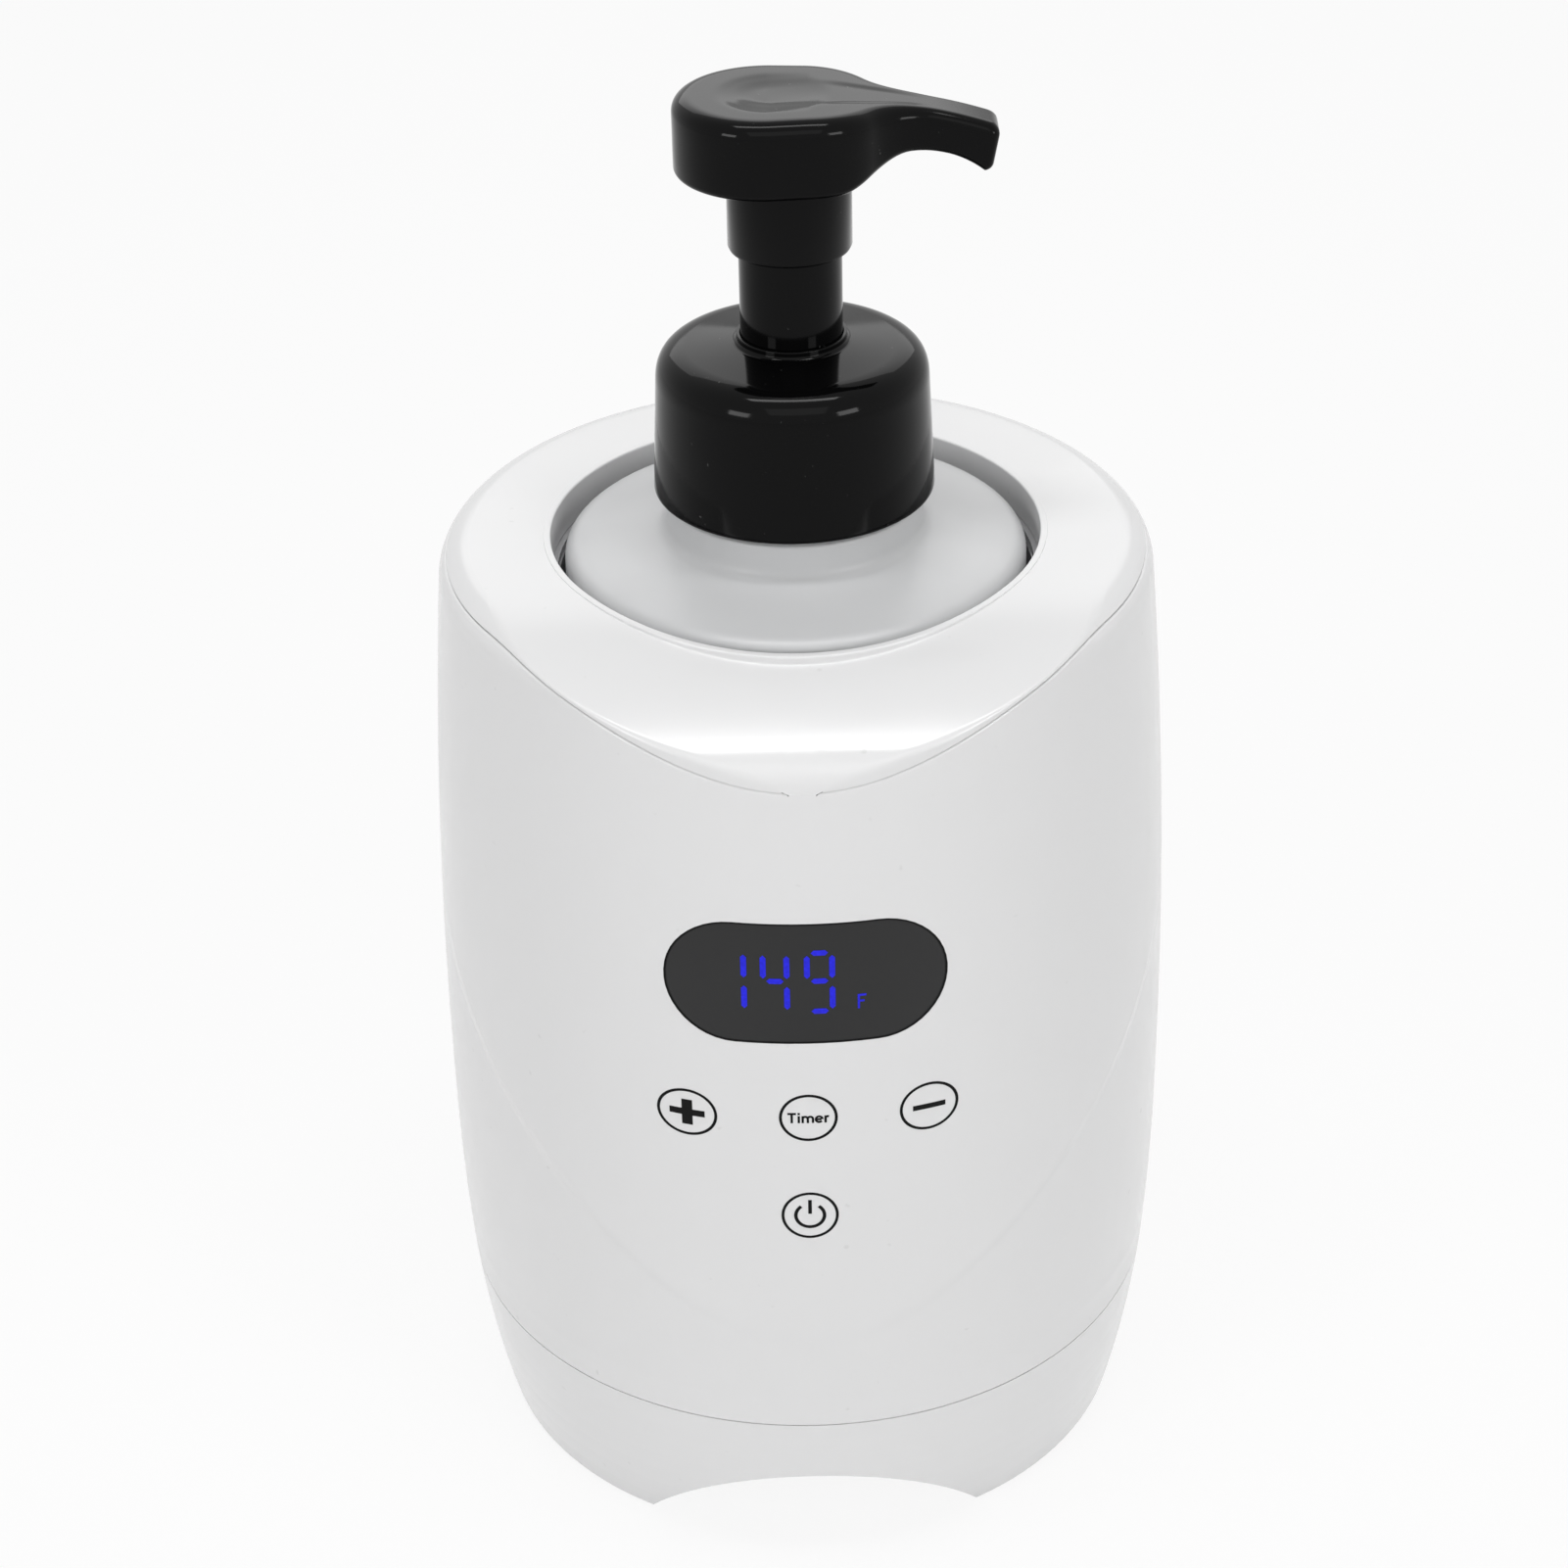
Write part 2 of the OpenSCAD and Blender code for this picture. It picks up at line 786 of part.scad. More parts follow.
module insulation_sleeve() {
    color([0.85, 0.83, 0.78])
        difference() {
            ring(heater_out + 0.02 + sleeve_t, heater_out + 0.02, sleeve_z, sleeve_z + sleeve_h);
            lead_slot();
        }
}

// Slot at the lower edge of the sleeve, where the leads come out from under it
module lead_slot() {
    rotate([0, 0, 150])
        translate([cup_r, -3.5, sleeve_z - 1])
            cube([10, 7, heater_z - sleeve_z + 1.6]);
}

sensor_x = 16;
sensor_r = 2;
under_cup_z = cup_floor_z - cup_t;

module temperature_sensor() {
    color([0.85, 0.8, 0.6])
        translate([sensor_x, 4, under_cup_z - sensor_r - 0.02])
            rotate([90, 0, 0])
                cylinder(r = sensor_r, h = 10, center = true);
}

module thermal_fuse() {
    color([0.9, 0.9, 0.86])
        translate([sensor_x, -14, under_cup_z - sensor_r - 0.02])
            rotate([90, 0, 0]) {
                cylinder(r = sensor_r, h = 11, center = true);
                cylinder(r = 0.5, h = 18, center = true);
            }
}

// Spring strap under the cup that holds the sensor and the fuse against its floor
module sensor_clip() {
    strap_t = 0.5;
    strap_low = under_cup_z - 2 * sensor_r - 0.04 - strap_t;
    color("silver")
        difference() {
            union() {
                for (y = [4, -14])
                    translate([sensor_x - 5, y - 2, strap_low])
                        cube([10, 4, under_cup_z - strap_low]);
                translate([sensor_x + sensor_r + 0.1, -16, under_cup_z - strap_t])
                    cube([5 - sensor_r - 0.1, 22, strap_t]);
            }
            for (y = [4, -14])
                translate([sensor_x - sensor_r - 0.05, y - 3, strap_low + strap_t])
                    cube([2 * sensor_r + 0.1, 6, 10]);
            translate([sensor_x - 8, -20, strap_low + strap_t])
                cube([8 - sensor_r - 0.05 - strap_t, 30, 10]);
            translate([sensor_x + sensor_r + 0.05 + strap_t, -20, strap_low - 1])
                cube([8, 30, under_cup_z - strap_t - strap_low + 1]);
            translate([sensor_x - 8, -20, strap_low - 1])
                cube([8 - sensor_r - 0.05 - strap_t, 30, 10]);
        }
}

// ---- Electronics ----
board_screw_r = 1.1;
board_screw_len = 7;
control_screw_r = 1.1;
control_screw_len = 7;
control_y = heater_out + 0.02 + sleeve_t + control_room;

module power_board() {
    color([0.1, 0.35, 0.2])
        difference() {
            translate([-power_w / 2, -power_d / 2, power_z])
                cube([power_w, power_d, board_t]);
            four_corners_xy(board_post_x, board_post_y)
                translate([0, 0, power_z - 1])
                    cylinder(r = board_screw_r + 0.3, h = board_t + 2);
        }
}

module board_screws() {
    color("silver")
        four_corners_xy(board_post_x, board_post_y)
            translate([0, 0, power_top])
                mirror([0, 0, 1])
                    pan_screw(board_screw_r, board_screw_len - 0.6, 2.2, 1.4);
}

module transformer() {
    core_h = transformer_h / 4;
    translate([-board_post_x / 2, board_post_y / 3, power_top]) {
        color([0.2, 0.2, 0.2])
            for (z = [0, transformer_h - core_h])
                translate([-transformer_w / 2, -transformer_d / 2, z])
                    cube([transformer_w, transformer_d, core_h]);
        color([0.85, 0.75, 0.2])
            translate([2 - transformer_w / 2, 1 - transformer_d / 2, core_h])
                cube([transformer_w - 4, transformer_d - 2, transformer_h - 2 * core_h]);
    }
}

module capacitors() {
    color([0.15, 0.15, 0.35])
        translate([0, -board_post_y + 10, power_top]) {
            translate([-board_post_x + 7, 0, 0])
                cylinder(r = big_cap_r, h = big_cap_h);
            translate([-board_post_x + 19, -1, 0])
                cylinder(r = small_cap_r, h = small_cap_h);
        }
}

module relay() {
    color([0.15, 0.3, 0.65])
        translate([board_post_x - 2 - relay_w, board_post_y - 2 - relay_d, power_top])
            cube([relay_w, relay_d, relay_h]);
}

block_x = board_post_x - 3 - block_w;
block_y = -board_post_y;

module terminal_block() {
    color([0.1, 0.45, 0.2])
        difference() {
            translate([block_x, block_y, power_top])
                cube([block_w, block_d, block_h]);
            for (i = [0:3])
                translate([block_x + block_w * (0.5 + i) / 4, block_y + block_d / 2,
                           power_top + block_h - 4])
                    cylinder(r = 1.5, h = 5);
        }
}

module control_board() {
    color([0.1, 0.3, 0.2])
        difference() {
            translate([-control_w / 2, -control_y, control_z])
                cube([control_w, board_t, control_h]);
            for (x = [-control_boss_x, control_boss_x], z = control_boss_z)
                translate([x, -control_y - 1, z])
                    rotate([-90, 0, 0])
                        cylinder(r = control_screw_r + 0.2, h = board_t + 2);
        }
}

module control_screws() {
    color("silver")
        for (x = [-control_boss_x, control_boss_x], z = control_boss_z)
            translate([x, -control_y + board_t, z])
                rotate([90, 0, 0])
                    pan_screw(control_screw_r, control_screw_len, 2.1, 1.1);
}

display_w = 38;
display_h = 19;
shroud_t = 1;
lens_flange_t = 1.2;
lens_flange_w = 2;
lens_back_r = body_r(window_z) - wall - lens_flange_t;
lens_corner_y = sqrt(pow(lens_back_r, 2) - pow(display_w / 2 + shroud_t, 2));
display_d = lens_corner_y - lens_room - control_y;

module display_module() {
    color([0.12, 0.12, 0.12])
        translate([-display_w / 2, -control_y - display_d, window_z - display_h / 2])
            cube([display_w, display_d, display_h]);
}

// Frame from the display module to the back of the window lens
module display_shroud() {
    color([0.08, 0.08, 0.08])
        intersection() {
            difference() {
                translate([-display_w / 2 - shroud_t, -far / 2,
                           window_z - display_h / 2 - shroud_t])
                    cube([display_w + 2 * shroud_t, far / 2 - control_y - 1,
                          display_h + 2 * shroud_t]);
                translate([-display_w / 2 - 0.05, -far, window_z - display_h / 2 - 0.05])
                    cube([display_w + 0.1, far, display_h + 0.1]);
            }
            barrel(wall + lens_flange_t + 0.1);
        }
}

module display_window() {
    color([0.07, 0.07, 0.075])
        difference() {
            union() {
                intersection() {
                    barrel(0.1);
                    translate([0, 0, window_z])
                        stadium_y(window_w - 2 * window_gap, window_h - 2 * window_gap,
                                  -far / 2, far / 2 - 40);
                }
                intersection() {
                    barrel(wall + 0.05);
                    translate([0, 0, window_z])
                        stadium_y(window_w + 2 * lens_flange_w, window_h + 2 * lens_flange_w,
                                  -far / 2, far / 2 - 40);
                }
            }
            barrel(wall + lens_flange_t);
        }
}

module key_pads() {
    color([0.25, 0.25, 0.27])
        intersection() {
            for (p = [[-key_pitch, key_row_z], [0, key_row_z], [key_pitch, key_row_z],
                      [0, key_low_z]])
                translate([p[0], -control_y, p[1]])
                    rotate([90, 0, 0])
                        cylinder(r = key_pad_r, h = 20);
            barrel(wall + 0.1);
        }
}

inlet_out_y = body_r(inlet_z) - 0.6;
inlet_flange_w = 2.5;

// Two-pole inlet, with its flange against the inside of the shell
module mains_inlet() {
    color([0.08, 0.08, 0.08])
        difference() {
            union() {
                intersection() {
                    translate([0, 0, inlet_z])
                        stadium_y(inlet_w, inlet_h, inlet_out_y - inlet_d, inlet_d);
                    barrel(0.3);
                }
                intersection() {
                    translate([0, 0, inlet_z])
                        stadium_y(inlet_w + 2 * inlet_flange_w, inlet_h + inlet_flange_w / 2,
                                  inlet_out_y - inlet_d, inlet_d);
                    difference() {
                        barrel(wall + tongue_gap);
                        barrel(wall + 2);
                    }
                }
            }
            translate([0, 0, inlet_z])
                stadium_y(inlet_w - 4, inlet_h - 3, inlet_out_y - 14, 30);
            for (x = [-pin_gap / 2, pin_gap / 2])
                translate([x, inlet_out_y - inlet_d - 1, inlet_z])
                    rotate([-90, 0, 0])
                        cylinder(r = pin_r + 0.02, h = inlet_d);
        }
}

pin_gap = 8.6;
pin_r = 1.2;

module inlet_pins() {
    color([0.8, 0.78, 0.7])
        for (x = [-pin_gap / 2, pin_gap / 2])
            translate([x, inlet_out_y - inlet_d - 3, inlet_z])
                rotate([-90, 0, 0])
                    cylinder(r = pin_r, h = inlet_d);
}

// ---- Leads ----
// Point on a smooth curve through four control points
function bezier(p, t) = pow(1 - t, 3) * p[0] + 3 * t * pow(1 - t, 2) * p[1]
    + 3 * t * t * (1 - t) * p[2] + pow(t, 3) * p[3];
function unit(v) = v / norm(v);

// Tube of radius r along a list of points; level is never parallel to the path
module tube_along(path, r, level, sides = 8) {
    last = len(path) - 1;
    rings = [for (i = [0:last])
        let (way = unit(path[min(i + 1, last)] - path[max(i - 1, 0)]),
             across = unit(cross(way, level)),
             up = cross(way, across))
        [for (k = [0:sides - 1]) path[i] + r * (cos(360 * k / sides) * across
                                                + sin(360 * k / sides) * up)]];
    points = [for (r_ = rings, p = r_) p];
    walls = [for (i = [0:last - 1], k = [0:sides - 1])
        let (a = i * sides + k, b = i * sides + (k + 1) % sides)
        each [[a, b, a + sides], [b, b + sides, a + sides]]];
    caps = [for (k = [1:sides - 2]) each [[0, k + 1, k],
                                          [last * sides, last * sides + k, last * sides + k + 1]]];
    polyhedron(points = points, faces = concat(walls, caps), convexity = 4);
}

module lead(p, r = 0.5, level = [1, 0, 0], steps = 14) {
    tube_along([for (i = [0:steps]) bezier(p, i / steps)], r, level);
}

module inlet_leads() {
    pin_back = inlet_out_y - inlet_d - 3;
    color([0.1, 0.1, 0.1])
        for (s = [-1, 1])
            lead([[s * pin_gap / 2, pin_back - 0.1, inlet_z],
                  [s * pin_gap / 2, pin_back - 9, inlet_z],
                  [s * 2.5, board_post_y, power_top + 12],
                  [s * 2.5, board_post_y - 1, power_top + 0.2]], 0.8);
}

module heater_leads() {
    color([0.7, 0.1, 0.1])
        for (s = [-1, 1])
            rotate([0, 0, 150 + 2.5 * s])
                lead([[heater_in + heater_t / 2 + 0.2, 0, heater_z - 0.1],
                      [heater_in + heater_t / 2 + 1.6, 0, heater_z - 12],
                      [heater_in + 2.2, 0, power_top + 9], [power_w / 2, 0, power_top + 0.5]],
                     level = [0, 1, 0]);
}

module sensor_leads() {
    color([0.85, 0.85, 0.85])
        for (s = [-1, 1])
            lead([[sensor_x + s, 9.1, under_cup_z - sensor_r],
                  [sensor_x + s, 13, under_cup_z - sensor_r],
                  [board_post_x - 1 + 1.5 * s, 2, power_top + 12],
                  [board_post_x - 1 + 1.5 * s, -2, power_top + 0.2]], 0.35);
}

// Flat cable that hangs straight from the control board and bends to the power board
module control_cable() {
    drop_y = -control_y + board_t + 0.5;
    color([0.8, 0.8, 0.82])
        for (x = [-2.6:1.3:2.6]) {
            bend = [[x, drop_y, sleeve_z - 1], [x, drop_y, power_top + 6],
                    [x - 4, -board_post_y - 9, power_top + 12],
                    [x - 4, -board_post_y, power_top + 0.4]];
            tube_along(concat([[x, drop_y, control_z + 4]],
                              [for (i = [0:14]) bezier(bend, i / 14)]), 0.45, [1, 0, 0]);
        }
}

// ---- Bottle ----
bottle_z = cup_floor_z + seat_gap;

// Outline of the bottle, set in by inset; the neck runs up to top
function bottle_points(inset, top) = let (
        heel = heel_round - inset, sh = shoulder_round - inset,
        out_r = bottle_r - inset, low = bottle_z + inset,
        slope = atan((neck_base_z - shoulder_z - 0.4) / (bottle_r - neck_ring_r)),
        sh_z = shoulder_z - shoulder_round)
    concat([[0, low]],
        [for (a = [-90:10:0]) [out_r - heel + heel * cos(a), low + heel + heel * sin(a)]],
        [for (a = [0:10:90 - slope]) [out_r - sh + sh * cos(a), sh_z + sh * sin(a)]],
        top);

module bottle() {
    color(MILKY)
        difference() {
            union() {
                rotate_extrude($fn = 180)
                    polygon(bottle_points(0, [[neck_ring_r + 1.2, neck_base_z],
                        [neck_ring_r + 0.3, neck_base_z + 0.4], [neck_ring_r, neck_base_z + 1.2],
                        [neck_ring_r, cap_z - 1.6], [neck_r, cap_z - 0.6],
                        [neck_r, neck_top_z], [0, neck_top_z]]));
            }
            rotate_extrude($fn = 180)
                polygon(bottle_points(bottle_t, [[inner_neck_r + 2.5, neck_base_z - bottle_t],
                    [inner_neck_r, neck_base_z + 0.6],
                    [inner_neck_r, neck_top_z + 1], [0, neck_top_z + 1]]));
        }
}

// ---- Closure and pump ----
gasket_t = 1.2;
housing_flange_z = neck_top_z + gasket_t;
housing_flange_t = 1.6;
cap_ceiling_z = housing_flange_z + housing_flange_t + 0.1;
air_low_z = neck_top_z - air_depth;
housing_flange_r = cap_bore_r - 0.5;
cap_dome_slope = atan((cap_dome_z - cap_shoulder_z) / (cap_top_r - stem_r - guide_t));
cap_t = 2.2;

module neck_gasket() {
    color([0.85, 0.85, 0.85])
        ring(neck_r, inner_neck_r, neck_top_z, housing_flange_z);
}

module closure() {
    turn = 90 - cap_dome_slope;
    tangent = cap_round * tan(turn / 2);
    arc_r = cap_top_r - cap_round;
    arc_z = cap_shoulder_z - tangent;
    guide_r = stem_r + guide_t;
    color(BLACK)
        difference() {
            rotate_extrude($fn = 180)
                polygon(concat([[cap_bore_r, cap_z], [cap_r, cap_z]],
                    [for (i = [0:8]) [arc_r + cap_round * cos(turn * i / 8),
                                      arc_z + cap_round * sin(turn * i / 8)]],
                    [[guide_r + 0.5, cap_dome_z], [guide_r, cap_dome_z + 0.4],
                     [guide_r, guide_z - 0.2], [guide_r - 0.2, guide_z],
                     [stem_r + run_gap, guide_z], [stem_r + run_gap, cap_dome_z - cap_t],
                     [air_r - 1.5, cap_dome_z - cap_t - 1.2], [air_r, cap_dome_z - cap_t - 2.7],
                     [air_r, cap_ceiling_z], [cap_bore_r, cap_ceiling_z]]));
        }
}

ball_seat_z = spring_seat_z - 7;
ball_bore_r = ball_r - 0.7;
ball_cage_r = ball_r + 0.6;
ball_z = ball_seat_z + sqrt(ball_r * ball_r - ball_bore_r * ball_bore_r) + 0.05;
ball_lift = 1;
cage_top_z = ball_z + ball_r + ball_lift + 0.05;
socket_r = tube_r + 1.4;
socket_z = ball_seat_z - 10;

module pump_housing() {
    color([0.88, 0.88, 0.88])
        rotate_extrude($fn = 120)
            polygon([[socket_r, socket_z], [socket_r, ball_seat_z - 1],
                     [liquid_r + pump_t, ball_seat_z + 1],
                     [liquid_r + pump_t, air_low_z - 4], [air_r + pump_t, air_low_z],
                     [air_r + pump_t, housing_flange_z],
                     [housing_flange_r, housing_flange_z],
                     [housing_flange_r, housing_flange_z + housing_flange_t],
                     [air_r, housing_flange_z + housing_flange_t],
                     [air_r, air_low_z + pump_t], [liquid_r, air_low_z + pump_t - 4],
                     [liquid_r, spring_seat_z], [ball_bore_r, spring_seat_z],
                     [ball_bore_r, cage_top_z], [ball_cage_r, cage_top_z],
                     [ball_cage_r, ball_seat_z], [ball_bore_r, ball_seat_z],
                     [ball_bore_r, ball_seat_z - 1.2], [tube_r + 0.02, ball_seat_z - 1.2],
                     [tube_r + 0.02, socket_z]]);
}

module valve_ball() {
    color("silver")
        translate([0, 0, ball_z])
            sphere(r = ball_r, $fn = 48);
}

module dip_tube() {
    color([0.85, 0.85, 0.86])
        ring(tube_r, tube_r - tube_t, bottle_z + bottle_t + tube_gap, ball_seat_z - 1.3);
}

piston_top_z = neck_top_z + gasket_t + 0.4;
piston_h = 7;
rod_r = 3;
liquid_piston_z = spring_seat_z + spring_h;

module air_piston() {
    color([0.88, 0.88, 0.88])
        rotate_extrude($fn = 120)
            polygon([[rod_r + 0.02, piston_top_z - piston_h], [7.5, piston_top_z - piston_h],
                     [7.5, piston_top_z - 2], [air_r - 1.4, piston_top_z - 2],
                     [air_r - 1.4, piston_top_z - piston_h], [air_r - run_gap, piston_top_z - piston_h],
                     [air_r - run_gap, piston_top_z], [stem_bore_r + 1, piston_top_z],
                     [stem_bore_r + 1, piston_top_z - 1.5],
                     [rod_r + 0.02, piston_top_z - 1.5]]);
}

module liquid_piston() {
    color([0.85, 0.85, 0.85])
        rotate_extrude($fn = 96)
            polygon([[0, liquid_piston_z], [liquid_r - run_gap, liquid_piston_z],
                     [liquid_r - run_gap, liquid_piston_z + 4], [rod_r, liquid_piston_z + 5],
                     [rod_r, piston_top_z + 4], [0, piston_top_z + 4]]);
}

spring_r = liquid_r - spring_wire_r - 0.4;
spring_low_z = spring_seat_z + spring_wire_r + 0.02;
spring_high_z = liquid_piston_z - spring_wire_r - 0.02;
spring_rings = 8 * spring_turns;
spring_pitch = (spring_high_z - spring_low_z) / spring_turns;
echo(spring_gap_at_rest = spring_pitch - 2 * spring_wire_r);
echo(spring_gap_when_pressed = spring_pitch - stroke / spring_turns - 2 * spring_wire_r);

module return_spring() {
    color("silver")
        tube_along([for (i = [0:spring_rings])
            [spring_r * cos(45 * i), spring_r * sin(45 * i),
             spring_low_z + (spring_high_z - spring_low_z) * i / spring_rings]],
            spring_wire_r, [0, 0, 1], 6);
}

stem_top_z = head_top_z - 9.6;

// Hollow stem that carries the head and turns on the air piston
module pump_stem() {
    color(BLACK)
        ring(stem_r, stem_bore_r, piston_top_z + 0.1, stem_top_z);
}

module foam_mesh() {
    color([0.9, 0.9, 0.9])
        ring(stem_bore_r - 0.02, stem_bore_r - 1.4, stem_top_z - 16, stem_top_z - 2);
}

// ---- Pump head ----
module pump_head() {
    color(BLACK)
        difference() {
            union() {
                thumb_pad();
                nozzle();
                head_collar();
            }
            translate([0, 0, collar_z - 1])
                cylinder(r = stem_r + 0.02, h = stem_top_z - collar_z + 1.02);
            foam_channel();
            thumb_dish();
        }
}

// Two overlapping discs, the second a little smaller and lower
module thumb_pad() {
    translate([-pad_shift, 0, 0])
        pad_disc(pad_r, head_low_z, head_top_z);
    translate([pad_front_shift, 0, 0])
        pad_disc(pad_front_r, head_low_z + skim, head_top_z - skim);
}

module pad_disc(r, low, high) {
    rotate_extrude($fn = 120)
        polygon(concat([[0, low], [r - 1.2, low], [r, low + 1.2]],
            [for (a = [0:10:90]) [r - pad_round + pad_round * cos(a),
                                  high - pad_round + pad_round * sin(a)]],
            [[0, high]]));
}

module head_collar() {
    rotate_extrude()
        polygon([[0, collar_z], [collar_r - 0.8, collar_z], [collar_r, collar_z + 0.8],
                 [collar_r, head_low_z + 1], [0, head_low_z + 1]]);
}

// Side view of the nozzle: arched over and under, with a leaning end
module nozzle_side() {
    over_r = arc_radius(nozzle_reach - 6, head_top_z - nozzle_top_z - 0.4);
    low_z = head_low_z + 2 * skim;
    end_z = nozzle_top_z - nozzle_h;
    end_x = nozzle_reach - 2.3;
    arch_x = nozzle_reach - 15.5;
    arch_z = end_z + 3.8;
    front_r = arc_radius(end_x - arch_x, arch_z - end_z);
    back_r = arc_radius(9, arch_z - low_z);
    difference() {
        intersection() {
            translate([6, head_top_z - 0.4 - over_r])
                circle(r = over_r, $fn = 360);
            polygon([[0, low_z], [arch_x, low_z], [arch_x, end_z - 2], [end_x - 0.7, end_z - 2],
                     [nozzle_reach, head_top_z], [0, head_top_z]]);
        }
        intersection() {
            translate([arch_x, arch_z - front_r])
                circle(r = front_r, $fn = 180);
            translate([arch_x, end_z - 5])
                square([20, 20]);
        }
        intersection() {
            translate([arch_x, arch_z - back_r])
                circle(r = back_r, $fn = 120);
            translate([arch_x - 20, end_z - 5])
                square([20.01, 20]);
        }
    }
}

// Plan view of the nozzle: a bar that flares tangentially into the pad's second disc
module nozzle_plan() {
    half = nozzle_w / 2;
    flare_x = 22;
    flare_r = (flare_x * flare_x - (pad_front_r - half) * (pad_front_r + half))
              / (2 * (pad_front_r - half));
    touch = pad_front_r / (pad_front_r + flare_r);
    touch_x = pad_front_shift + flare_x * touch;
    touch_y = (half + flare_r) * touch;
    translate([0, -half])
        square([nozzle_reach, nozzle_w]);
    difference() {
        polygon([[pad_front_shift, -touch_y], [touch_x, -touch_y],
                 [pad_front_shift + flare_x, -half], [pad_front_shift + flare_x, half],
                 [touch_x, touch_y], [pad_front_shift, touch_y]]);
        for (s = [-1, 1])
            translate([pad_front_shift + flare_x, s * (half + flare_r)])
                circle(r = flare_r, $fn = 240);
    }
}

module nozzle() {
    intersection() {
        rotate([90, 0, 0])
            linear_extrude(height = 2 * pad_r, center = true)
                nozzle_side();
        translate([0, 0, head_low_z])
            linear_extrude(height = pad_h + 1)
                nozzle_plan();
    }
}

// Chamber over the stem, and the channel that falls from it to the tip of the nozzle
module foam_channel() {
    translate([nozzle_reach + 1, 0, nozzle_top_z - nozzle_h / 2 + 0.2])
        rotate([0, channel_tilt - 90, 0])
            cylinder(r = outlet_r, h = nozzle_reach - 1);
    translate([0, 0, stem_top_z - 1])
        cylinder(r = stem_bore_r - 1, h = head_top_z - 3.6 - stem_top_z + 1);
}

// Shallow dish in the thumb pad
module thumb_dish() {
    hollow_r = arc_radius(dish_r, dish_depth);
    translate([-pad_shift + 1, 0, head_top_z + hollow_r - dish_depth])
        sphere(r = hollow_r, $fn = 180);
}

body_shell();
top_cover();
base();
rubber_feet();
base_screws();
well_cup();
well_seal();
flange_screws();
heater_mat();
insulation_sleeve();
temperature_sensor();
thermal_fuse();
sensor_clip();
power_board();
transformer();
capacitors();
relay();
terminal_block();
board_screws();
control_board();
control_screws();
display_module();
display_shroud();
display_window();
key_pads();
mains_inlet();
inlet_pins();
inlet_leads();
heater_leads();
sensor_leads();
control_cable();
bottle();
neck_gasket();
closure();
pump_housing();
valve_ball();
dip_tube();
air_piston();
liquid_piston();
return_spring();
pump_stem();
foam_mesh();
pump_head();
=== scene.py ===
"""The looks of the hot lather machine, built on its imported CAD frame.

Lengths are millimetres, in the frame of the CAD part, until the mesh tools turn them into metres:
the display faces -Y, the nozzle points along +X, and the table is at z = 0. Lamps, the floor and
the grain of the materials are in metres.
"""

import json
import math

import bmesh
import bpy
import numpy as np
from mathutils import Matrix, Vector


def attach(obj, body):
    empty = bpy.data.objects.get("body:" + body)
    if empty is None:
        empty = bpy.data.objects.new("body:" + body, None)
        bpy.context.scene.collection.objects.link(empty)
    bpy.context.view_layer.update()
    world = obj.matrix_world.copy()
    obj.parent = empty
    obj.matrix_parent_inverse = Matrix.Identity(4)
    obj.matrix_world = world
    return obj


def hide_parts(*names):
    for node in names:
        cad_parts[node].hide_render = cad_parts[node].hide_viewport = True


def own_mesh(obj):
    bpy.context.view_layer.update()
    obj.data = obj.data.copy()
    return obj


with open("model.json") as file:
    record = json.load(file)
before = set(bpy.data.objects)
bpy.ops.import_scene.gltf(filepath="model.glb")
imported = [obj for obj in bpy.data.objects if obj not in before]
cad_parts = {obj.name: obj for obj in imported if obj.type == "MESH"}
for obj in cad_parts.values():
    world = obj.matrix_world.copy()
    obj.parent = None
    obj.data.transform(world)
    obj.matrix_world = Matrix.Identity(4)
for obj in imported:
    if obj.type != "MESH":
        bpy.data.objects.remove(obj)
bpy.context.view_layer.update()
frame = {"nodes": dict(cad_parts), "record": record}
NODES = frame["nodes"]
MM = 0.001

# ---- Driving dimensions, as in the CAD source ----
TOP_Z = 175.7
FOOT_R, BULGE_R, BULGE_Z, CROWN_R = 58.8, 65.2, 76.0, 60.5
WALL = 2.4
EDGE_ROUND = 6.2
RAMP_RUN, RAMP_FALL, RAMP_ROUND = 40.3, 12.3, 7.8
SEAM_DROP, SEAM_RUN, SEAM_FALL, SEAM_GAP = 2.3, 29.9, 13.4, 0.25
BASE_Z = 30.5
MOUTH_R, LIP_W, LIP_RISE, LIP_FALL, THROAT_Z = 41.7, 1.2, 0.2, 1.9, 169.2
THROAT_WALL = 2.2
INLET_W, INLET_H, INLET_Z = 20.3, 10.3, 38.5
BOTTLE_R, BOTTLE_Z, SHOULDER_Z = 39.4, 46.2, 173.8
NECK_BASE_Z, NECK_RING_R, NECK_R, NECK_TOP_Z = 176.8, 21.8, 19.7, 198.0
NECK_BORE_R, BOTTLE_T = 18.1, 1.5
CAP_R, CAP_TOP_R, CAP_Z, CAP_SHOULDER_Z = 23.75, 22.6, 184.0, 209.0
CAP_DOME_Z, GUIDE_Z, GUIDE_T, CAP_BORE_R, CAP_T = 210.3, 211.7, 0.7, 21.4, 2.2
AIR_R, CAP_CEILING_Z = 16.4, 200.9
STEM_R, STEM_BORE_R, STEM_LOW_Z = 8.5, 6.6, 199.7
HEAD_TOP_Z, HEAD_LOW_Z, COLLAR_Z, COLLAR_R = 252.6, 239.8, 226.5, 10.2
PAD_X, PAD_R, PAD_FRONT_X, PAD_FRONT_R = -3.5, 15.1, 2.0, 14.6
PAD_ROUND, PAD_LOW_ROUND = 2.6, 1.2
NOZZLE_REACH, NOZZLE_HALF, NOZZLE_DROP, NOZZLE_LEAN, OUTLET_R = 34.0, 4.2, 4.8, 1.4, 1.6
PRESS, HEAD_SEAT = 13.5, 9.6
OUTLET_Z, OUTLET_TILT = 243.8, 100.0
